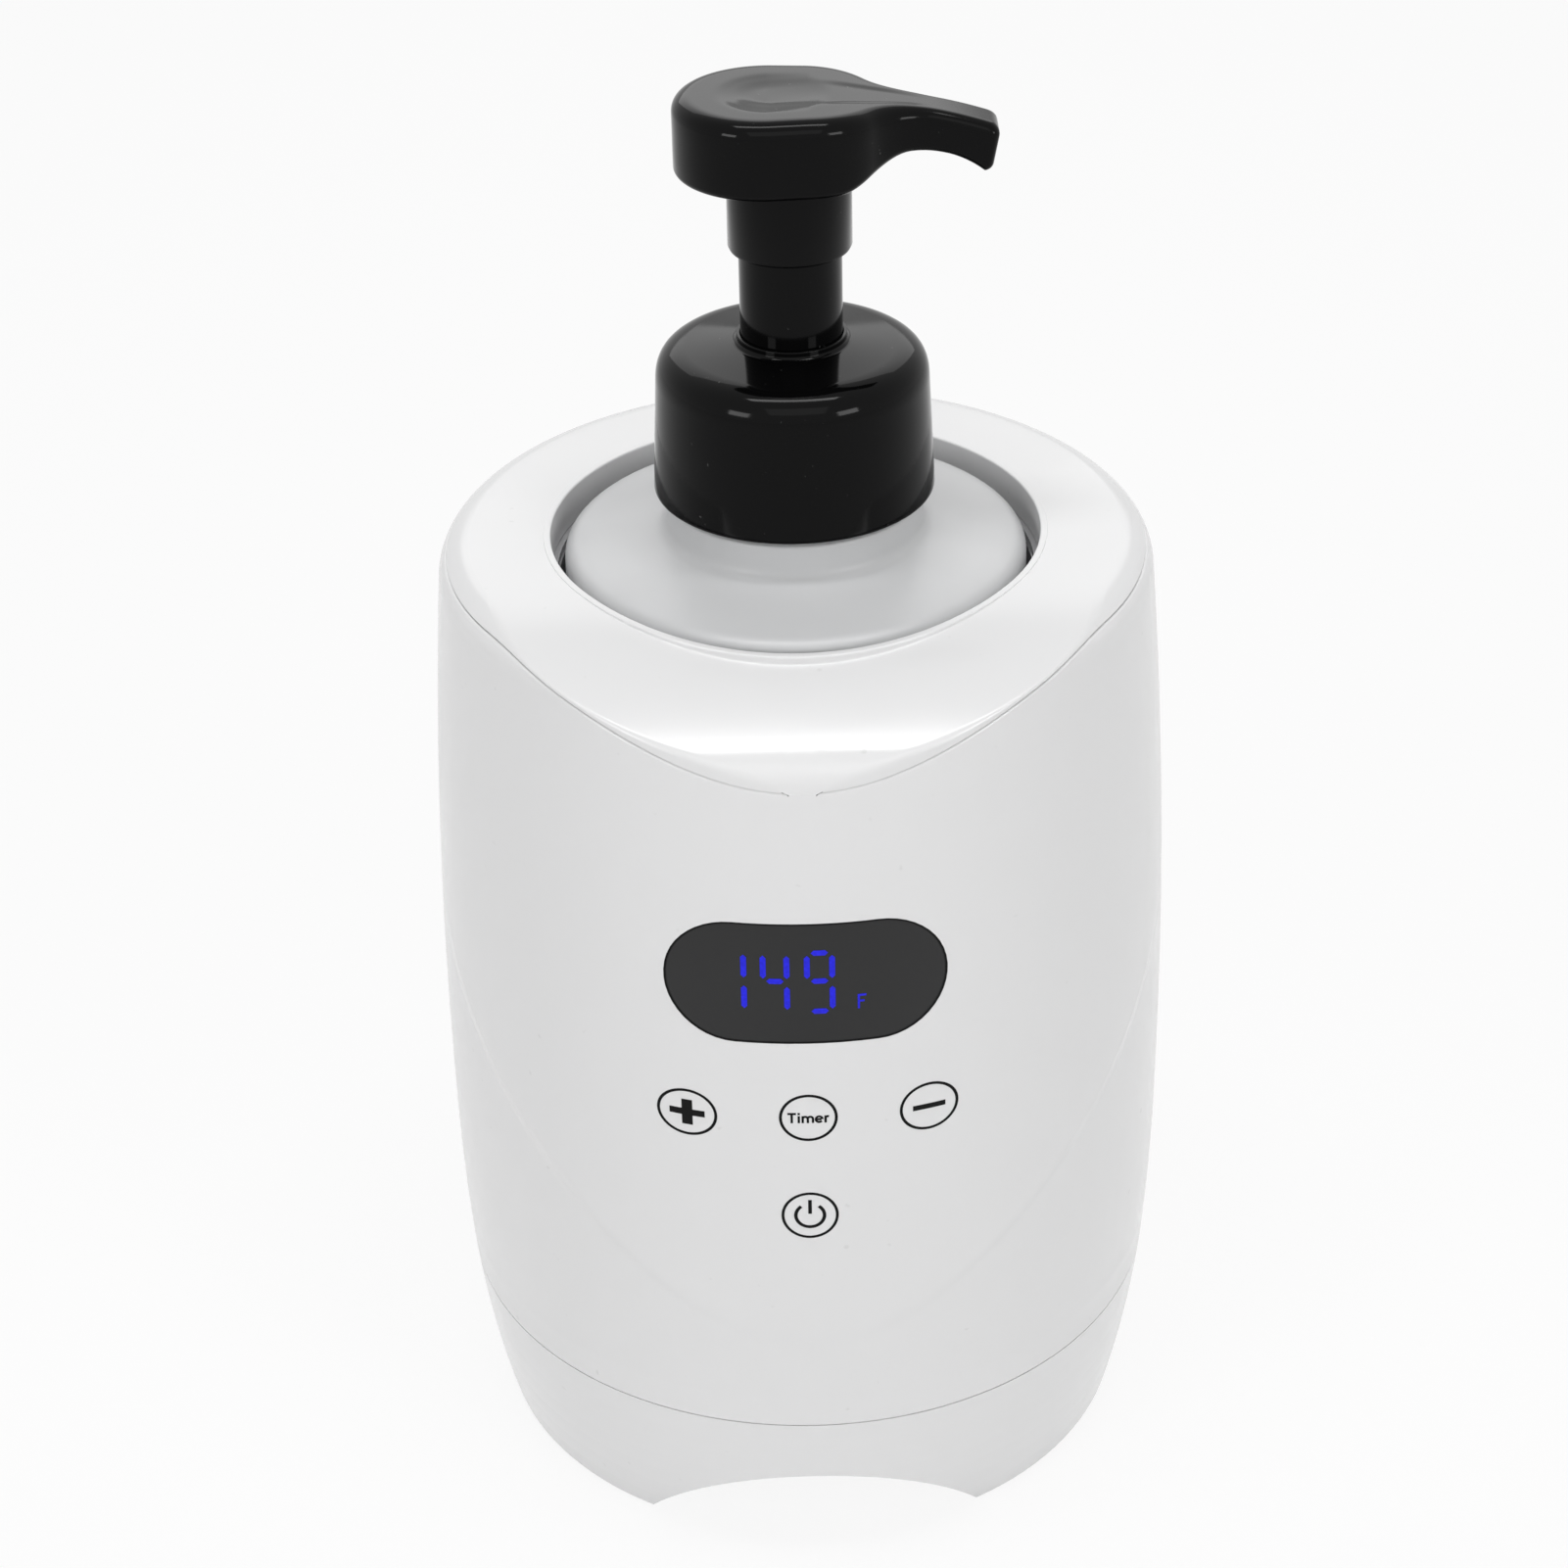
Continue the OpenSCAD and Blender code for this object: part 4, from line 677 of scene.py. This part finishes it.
def key_marks():
    """The rings of the four keys, with the plus, minus and power signs."""
    plus = key_ring(4.8, 4.38) + [cross_outline(5.9, 5.0, 1.8, 1.25)]
    minus = key_ring(4.72, 4.48) + [box_outline(5.5, 1.0)]
    power = key_ring(4.6, 4.6) + stroke(oval(0, 0, 2.42, 2.42, 128, 412), 0.6)
    power += moved([box_outline(0.62, 2.9)], 0, 1.8)
    marks = {
        "mark_timer_ring": moved(key_ring(4.65, 4.45), 0, KEY_ROW_Z),
        "mark_plus": moved(plus, -KEY_PITCH, KEY_ROW_Z - 0.55),
        "mark_minus": moved(minus, KEY_PITCH, KEY_ROW_Z - 0.35),
        "mark_power": moved(power, 0, KEY_LOW_Z),
    }
    for name, outlines in marks.items():
        print_on_body(name, outlines, PRINT_RISE, PRINT_DEPTH, PRINT_INK, "black_plastic")


def timer_word():
    """The word inside the timer key's ring, in plain strokes standing on z = 0."""
    width, cap_h, low_h = 0.4, 2.05, 1.42
    bar_z = cap_h - width / 2
    lines = [[(-3.5, bar_z), (-2.05, bar_z)], [(-2.775, cap_h - width), (-2.775, 0)],
             [(-1.6, low_h), (-1.6, 0)], [(-1.6, cap_h), (-1.6, cap_h - width)],
             [(-0.95, low_h), (-0.95, 0)], [(2.85, low_h), (2.85, 0)]]
    for left, right in ((-0.95, -0.1), (-0.1, 0.75)):
        arch = oval((left + right) / 2, 0.85, (right - left) / 2, 0.41, 0, 140, 10)[::-1]
        lines.append(list(arch) + [(right, 0)])
    lines.append(oval(1.78, 0.72, 0.55, 0.56, 0, 320, 28))
    lines.append([(1.4, 0.72), (2.16, 0.72)])
    lines.append(oval(3.22, 0.88, 0.37, 0.38, 60, 150, 7)[::-1])
    pieces = [piece for path in lines for piece in stroke(path, width)]
    print_on_body("mark_timer_word", moved(pieces, 0, KEY_ROW_Z - cap_h / 2), PRINT_RISE,
                  PRINT_DEPTH, PRINT_INK, "black_plastic", step=3.0)


SEGMENT_W, UPRIGHT_L, LEVEL_L = 0.95, 4.3, 2.8


def segment(x, z, length, upright):
    """One bar of a digit: a bar with slanted ends."""
    half, tip = length / 2, SEGMENT_W / 2
    points = [(-half, 0), (-half + tip, -tip), (half - tip, -tip), (half, 0),
              (half - tip, tip), (-half + tip, tip)]
    if upright:
        points = [(-b, a) for a, b in points]
    return [(x + a, z + b) for a, b in points]


def digit(names, left, right):
    """Seven-segment digit between two upright columns: names is any of abcdefg."""
    high, upper, middle, lower, low = 130.7, 128.05, 125.4, 122.2, 119.65
    centre = (left + right) / 2
    bars = {"a": (centre, high, LEVEL_L, False), "g": (centre, middle, LEVEL_L, False),
            "d": (centre, low, LEVEL_L, False), "b": (right, upper, UPRIGHT_L, True),
            "c": (right, lower, UPRIGHT_L, True), "f": (left, upper, UPRIGHT_L, True),
            "e": (left, lower, UPRIGHT_L, True)}
    return [segment(*bars[n]) for n in names]


def digits():
    """The lit number and its unit, just behind the window's face."""
    shapes = digit("bc", -14.4, -10.1)
    shapes += digit("fgbc", -6.95, -3.1)
    shapes += digit("afgbcd", 0.2, 4.3)
    print_on_body("digits", shapes, -LIT_DROP, LIT_DEPTH, DIGIT_LIGHT, "smoked_lens")
    unit = [[(8.4, 119.7), (8.75, 119.7), (8.75, 122.4), (8.4, 122.4)],
            [(8.75, 122.05), (9.8, 122.05), (9.8, 122.4), (8.75, 122.4)],
            [(8.75, 120.95), (9.5, 120.95), (9.5, 121.3), (8.75, 121.3)]]
    print_on_body("digit_unit", unit, -LIT_DROP, LIT_DEPTH, DIGIT_LIGHT, "smoked_lens")


def window_border():
    """The thin black border printed along the edge of the display window."""
    outer = stadium(WINDOW_W, WINDOW_H, -BORDER_OUT)
    inner = stadium(WINDOW_W, WINDOW_H, -BORDER_IN)
    pairs = list(zip(outer, inner))
    pieces = [[a[0], b[0], b[1], a[1]] for a, b in zip(pairs, pairs[1:] + pairs[:1])]
    print_on_body("window_border", moved(pieces, 0, WINDOW_Z), -BORDER_DROP, BORDER_DEPTH,
                  PRINT_INK, "black_plastic")


# ---- Bottle, closure and pump ----
def bottle():
    """The bottle, with its rounded heel, shoulder and neck ring."""
    inner_r = BOTTLE_R - BOTTLE_T
    base_z = BOTTLE_Z + BOTTLE_T
    corners = [((0, BOTTLE_Z), 0.1, 12), ((BOTTLE_R, BOTTLE_Z), 4.0, 30),
               ((BOTTLE_R, SHOULDER_Z), 2.4, 24),
               ((NECK_RING_R, NECK_BASE_Z), 2.0, 10), ((NECK_RING_R, CAP_Z - 1.4), 0.5, 4),
               ((NECK_R, CAP_Z - 0.6), 0.4, 12), ((NECK_R, NECK_TOP_Z), 0.3, 4),
               ((NECK_BORE_R, NECK_TOP_Z), 0.3, 12), ((NECK_BORE_R, NECK_BASE_Z + 0.4), 0.8, 6),
               ((NECK_BORE_R + 2.5, NECK_BASE_Z - BOTTLE_T), 0.8, 10),
               ((inner_r, SHOULDER_Z - BOTTLE_T), 1.0, 20), ((inner_r, base_z), 3.0, 12),
               ((0, base_z), 0.1, 2)]
    turned("bottle_skin", corners, "bottle", "milky_bottle", ["bottle"])


def turned(name, corners, body, slot, replaces, **more):
    """A turned solid from corner points, each with its rounding and the count to the next corner."""
    points = [c[0] for c in corners]
    curves = [line(points[i], points[(i + 1) % len(points)]) for i in range(len(points))]
    counts = [c[2] for c in corners]
    rounds = [corners[(i + 1) % len(corners)][1] for i in range(len(corners))]
    return lathe(name, curves, counts, rounds, body, MATERIALS[slot], slot=slot,
                 replaces=replaces, **more)


def closure():
    """The screw cap, with its dome and the guide ring around the stem."""
    guide_r = STEM_R + GUIDE_T
    bore = STEM_R + 0.08
    roof_z = CAP_DOME_Z - CAP_T
    corners = [((CAP_BORE_R, CAP_Z), 0.3, 4), ((CAP_R, CAP_Z), 0.7, 24),
               ((CAP_TOP_R, CAP_SHOULDER_Z), 4.8, 16), ((guide_r + 0.5, CAP_DOME_Z), 0.4, 3),
               ((guide_r, CAP_DOME_Z + 0.4), 0.25, 3), ((guide_r, GUIDE_Z), 0.25, 3),
               ((bore, GUIDE_Z), 0.15, 5), ((bore, roof_z), 0.1, 4),
               ((AIR_R - 1.5, roof_z - 1.2), 0.3, 3), ((AIR_R, roof_z - 2.7), 0.3, 4),
               ((AIR_R, CAP_CEILING_Z), 0.2, 4), ((CAP_BORE_R, CAP_CEILING_Z), 0.3, 12)]
    turned("closure_skin", corners, "closure", "black_gloss", ["closure"])


def stem():
    """The tube between the head and the pump."""
    top = HEAD_TOP_Z - HEAD_SEAT
    corners = [((STEM_BORE_R, STEM_LOW_Z), 0.2, 4), ((STEM_R, STEM_LOW_Z), 0.3, 30),
               ((STEM_R, top), 0.2, 4), ((STEM_BORE_R, top), 0.2, 20)]
    turned("stem_skin", corners, "head", "black_gloss", ["pump_stem"])


def smooth_step(value, low, high):
    """0 at low and 1 at high, with a level start and end."""
    share = np.clip((value - low) / (high - low), 0, 1)
    return share * share * (3 - 2 * share)


def arc_points(x, y, radius, start, end, count):
    """Points on an arc around (x, y), from start to end in degrees."""
    angles = np.radians(np.linspace(start, end, count))
    return np.stack([x + radius * np.cos(angles), y + radius * np.sin(angles)], axis=1)


def head_outline(inset):
    """Plan of the head: two discs that flare into the nozzle, drawn in by inset."""
    gap = PAD_FRONT_R - NOZZLE_HALF
    flare_r = (FLARE_X ** 2 - gap * (PAD_FRONT_R + NOZZLE_HALF)) / (2 * gap)
    flare_x, flare_y = PAD_FRONT_X + FLARE_X, NOZZLE_HALF + flare_r
    touch = math.degrees(math.atan2(flare_y, FLARE_X))
    tangent = math.degrees(math.acos((PAD_R - PAD_FRONT_R) / (PAD_FRONT_X - PAD_X)))
    tip, half, corner = NOZZLE_REACH - inset, NOZZLE_HALF - inset, max(1.4 - inset, 0.05)
    upper = np.concatenate([
        along(line((tip, 0), (tip, half - corner)), np.linspace(0, half - corner, 5)),
        arc_points(tip - corner, half - corner, corner, 10, 90, 6),
        along(line((tip - corner, half), (flare_x, half)),
              np.linspace(0.8, tip - corner - flare_x, 10)),
        arc_points(flare_x, flare_y, flare_r + inset, -92, touch - 180, 16),
        arc_points(PAD_FRONT_X, 0, PAD_FRONT_R - inset, touch + 2, tangent, 14),
        arc_points(PAD_X, 0, PAD_R - inset, tangent + 2, 180, 28)])
    return np.concatenate([upper, upper[-2:0:-1] * (1, -1)])


def head_top(x, y):
    """Height of the head's top: flat pad, falling nozzle, a dish and a trough that leads out of it."""
    fall_r = arc_radius(NOZZLE_REACH - 6, NOZZLE_DROP)
    reach = np.clip(x - 6, 0, NOZZLE_REACH)
    nozzle = HEAD_TOP_Z - 0.4 - fall_r + np.sqrt(fall_r ** 2 - reach ** 2)
    share = smooth_step(x, 2, 14)
    from_dish = np.hypot(x + 2.4, y)
    dish = 0.4 * (1 - smooth_step(from_dish, 3.0, 9.4)) + 0.04 * np.exp(-(from_dish - 7.6) ** 2)
    edge = 5.5 - 0.2 * (x - 4)
    trough = 0.16 * (1 - smooth_step(np.abs(y), edge - 1.2, edge + 0.6))
    trough = trough * smooth_step(x, 3, 10) * (1 - smooth_step(x, 13, 24))
    return HEAD_TOP_Z * (1 - share) + nozzle * share - dish - trough


def head_low(x):
    """Height of the head's underside: flat under the pad, arched under the nozzle."""
    front_run = NOZZLE_REACH - NOZZLE_LEAN - ARCH_X
    front_r = arc_radius(front_run, ARCH_RISE - 0.2)
    ahead = np.clip(x - ARCH_X, 0, front_run)
    fall = front_r - np.sqrt(front_r ** 2 - ahead ** 2)
    return HEAD_LOW_Z + ARCH_RISE * smooth_step(x, 8, ARCH_X) - fall


def head_ring(inset, rounding, height):
    """One ring of the head's skin: height is 0 at the underside and 1 at the top."""
    outer, inner = head_outline(0), head_outline(PAD_ROUND)
    plan = outer + (inner - outer) * (inset / PAD_ROUND)[:, None]
    low, high = head_low(plan[:, 0]), head_top(plan[:, 0], plan[:, 1])
    z = low + (high - low) * height + rounding
    return np.column_stack([plan, z])


def leaned(ring):
    """Leans the nozzle's end back towards its lower edge."""
    x, y, z = ring.T
    share = np.clip((x - 26) / (NOZZLE_REACH - 26), 0, 1) * (head_top(x, y) - z) / 7.4
    return np.column_stack([x - NOZZLE_LEAN * share, y, z])


def head_rings():
    """Rings from the middle of the underside out, up the side and in over the top."""
    outer = head_outline(0)
    ones = np.ones(len(outer))
    top_round = PAD_ROUND - 0.9 * smooth_step(outer[:, 0], 14, 22)
    spine = np.column_stack([np.clip(outer[:, 0], PAD_X, NOZZLE_REACH - 4), 0 * ones])
    turn = np.radians(np.linspace(0, 90, 8))
    low_edge = head_ring(PAD_LOW_ROUND * ones, 0, 0)
    rings = []
    for share in np.linspace(1, 0, 9)[:-1]:
        plan = low_edge[:, :2] + (spine - low_edge[:, :2]) * share
        rings.append(np.column_stack([plan, head_low(plan[:, 0])]))
    for a in turn[::-1]:
        rings.append(head_ring(PAD_LOW_ROUND * (1 - math.cos(a)) * ones,
                               PAD_LOW_ROUND * (1 - math.sin(a)), 0))
    side_low, side_high = rings[-1], head_ring(0 * ones, -top_round, 1)
    rings += [side_low + (side_high - side_low) * share for share in (0.25, 0.5, 0.75)]
    for a in turn:
        rings.append(head_ring(top_round * (1 - math.cos(a)), -top_round * (1 - math.sin(a)), 1))
    high_edge = rings[-1]
    for share in np.linspace(0, 1, 19)[1:]:
        plan = high_edge[:, :2] + (spine - high_edge[:, :2]) * share
        rings.append(np.column_stack([plan, head_top(plan[:, 0], plan[:, 1])]))
    return [leaned(ring) for ring in rings]


def loft(name, rings):
    """A closed solid through rings of points, with nothing riding yet."""
    count = len(rings[0])
    verts = [tuple(float(c) * MM for c in point) for ring in rings for point in ring]
    faces = [(k * count + i, k * count + (i + 1) % count,
              (k + 1) * count + (i + 1) % count, (k + 1) * count + i)
             for k in range(len(rings) - 1) for i in range(count)]
    data = bpy.data.meshes.new(name)
    data.from_pydata(verts, [], faces)
    weld(data)
    made = bpy.data.objects.new(name, data)
    bpy.context.scene.collection.objects.link(made)
    return made


def drum(name, profile, count=128):
    """A turned solid from (radius, height) points that start and end on the axis."""
    angles = np.linspace(0, 2 * math.pi, count, endpoint=False)
    return loft(name, [[(r * math.cos(a), r * math.sin(a), z) for a in angles]
                       for r, z in profile])


def head():
    """The pump head: pad and nozzle in one smooth skin, its collar, bore and foam outlet."""
    piece = loft("head_skin", head_rings())
    low = COLLAR_Z
    cut(piece, drum("collar", [(0, low), (COLLAR_R - 0.8, low), (COLLAR_R - 0.25, low + 0.25),
                               (COLLAR_R, low + 0.8), (COLLAR_R, HEAD_LOW_Z + 3),
                               (0, HEAD_LOW_Z + 3)]), operation="UNION")
    bore = STEM_R + 0.02
    cut(piece, drum("bore", [(0, low - 2), (bore, low - 2), (bore, HEAD_TOP_Z - HEAD_SEAT),
                             (0, HEAD_TOP_Z - HEAD_SEAT)]))
    outlet = drum("outlet", [(0, -8), (OUTLET_R, -8), (OUTLET_R, 4), (0, 4)], 40)
    outlet.rotation_euler = (0, math.radians(OUTLET_TILT), 0)
    outlet.location = Vector((NOZZLE_REACH - 1.2, 0, OUTLET_Z)) * MM
    bpy.context.view_layer.update()
    cut(piece, outlet, smooth=35)
    piece.data.materials.clear()
    piece.data.materials.append(MATERIALS["black_gloss"])
    piece.data.polygons.foreach_set("use_smooth", [True] * len(piece.data.polygons))
    piece.data.set_sharp_from_angle(angle=math.radians(35))
    return place(piece, "head", ["pump_head"])


def spring():
    """The CAD spring as a piece of its own, riding on the pistons with its own copy of the mesh."""
    solid = NODES["return_spring"]
    piece = solid.copy()
    piece.data = solid.data.copy()
    piece.name = "spring_coil"
    bpy.context.scene.collection.objects.link(piece)
    place(piece, "pistons", ["return_spring"])
    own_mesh(piece)


# ---- Stage, lamps and camera ----
def camera():
    """The photograph's view, from the front and above, with the frame turned a little."""
    data = bpy.data.cameras.new("camera")
    data.lens = FOCAL
    data.sensor_width = SENSOR
    data.clip_start, data.clip_end = 0.01, 20
    eye = bpy.data.objects.new("camera", data)
    target = Vector(EYE_TARGET) * MM
    rise = math.radians(EYE_RISE)
    eye.location = target + EYE_DISTANCE * MM * Vector((0, -math.cos(rise), math.sin(rise)))
    eye.rotation_euler = (target - eye.location).to_track_quat("-Z", "Y").to_euler()
    eye.rotation_euler.rotate_axis("Z", math.radians(EYE_ROLL))
    bpy.context.scene.collection.objects.link(eye)
    bpy.context.scene.camera = eye


def lamp(name, place_at, aim, size, power, spread=180):
    """A rectangular lamp that looks at aim."""
    data = bpy.data.lights.new(name, "AREA")
    data.shape = "RECTANGLE"
    data.size, data.size_y = size
    data.energy = power
    data.spread = math.radians(spread)
    made = bpy.data.objects.new(name, data)
    made.location = Vector(place_at)
    made.rotation_euler = (Vector(aim) - made.location).to_track_quat("-Z", "Y").to_euler()
    bpy.context.scene.collection.objects.link(made)
    return made


def seen_directly(tree):
    """1 where a camera, glossy or transmitted ray looks, and 0 for light that falls on things."""
    path = tree.nodes.new("ShaderNodeLightPath")
    total = path.outputs["Is Camera Ray"]
    for name in ("Is Glossy Ray", "Is Transmission Ray"):
        add = tree.nodes.new("ShaderNodeMath")
        add.operation = "MAXIMUM"
        tree.links.new(total, add.inputs[0])
        tree.links.new(path.outputs[name], add.inputs[1])
        total = add.outputs[0]
    return total


def studio():
    """A white surround and five lamps at a plain level."""
    world = bpy.data.worlds.new("studio")
    bpy.context.scene.world = world
    world.use_nodes = True
    tree = world.node_tree
    back = tree.nodes["Background"]
    back.inputs["Color"].default_value = (1, 1, 1, 1)
    strength = tree.nodes.new("ShaderNodeMapRange")
    strength.inputs["To Min"].default_value = 0.33
    strength.inputs["To Max"].default_value = 1.0
    tree.links.new(seen_directly(tree), strength.inputs["Value"])
    tree.links.new(strength.outputs["Result"], back.inputs["Strength"])
    lamp("overhead", (0, -0.1, 1.2), (0, 0, 0.15), (0.8, 0.16), 4.6)
    lamp("back", (0, 1.05, 0.85), (0, 0, 0.18), (1.2, 0.6), 2.9)
    lamp("left", (-0.78, -0.78, 0.45), (0, 0, 0.13), (0.34, 0.26), 2.6)
    lamp("right", (0.78, -0.78, 0.45), (0, 0, 0.13), (0.34, 0.26), 2.6)
    lamp("front", (0.05, -0.9, 0.85), (0, 0, 0.1), (0.9, 0.5), 1.2)


def floor():
    """A round pale table top with a soft grain, white where the camera looks past the shadow."""
    rings, turns, reach = 24, 96, 3.0
    verts = [(0, 0, 0)]
    for i in range(1, rings + 1):
        radius = reach * (i / rings) ** 2
        verts += [(radius * math.cos(2 * math.pi * k / turns),
                   radius * math.sin(2 * math.pi * k / turns), 0) for k in range(turns)]
    faces = [(0, 1 + k, 1 + (k + 1) % turns) for k in range(turns)]
    for i in range(rings - 1):
        a, b = 1 + i * turns, 1 + (i + 1) * turns
        faces += [(a + k, b + k, b + (k + 1) % turns, a + (k + 1) % turns) for k in range(turns)]
    data = bpy.data.meshes.new("floor")
    data.from_pydata(verts, [], faces)
    shader = Shader("floor_paint", (0.86, 0.86, 0.86), 0.75)
    shader.tinted(shader.ranged(shader.noise(6, 3), 0, 1), (0.86, 0.86, 0.86), (0.84, 0.84, 0.84))
    shader.bumped(shader.noise(300, 3), 0.1, 0.0001)
    tree = shader.tree
    glow = shader.node("ShaderNodeEmission", Strength=1.0)
    mix = shader.node("ShaderNodeMixShader")
    share = shader.node("ShaderNodeMath", operation="MULTIPLY")
    share.inputs[1].default_value = 0.88
    shader.link(seen_directly(tree), share.inputs[0])
    shader.link(share.outputs[0], mix.inputs["Fac"])
    shader.link(shader.surface.outputs[0], mix.inputs[1])
    shader.link(glow.outputs[0], mix.inputs[2])
    shader.link(mix.outputs[0], tree.nodes["Material Output"].inputs["Surface"])
    data.materials.append(shader.material)
    made = bpy.data.objects.new("floor", data)
    bpy.context.scene.collection.objects.link(made)


camera()
studio()
floor()
dress_cad_nodes()
cover()
shell()
key_marks()
timer_word()
digits()
window_border()
bottle()
closure()
stem()
head()
spring()
bpy.context.scene.view_settings.view_transform = "Standard"
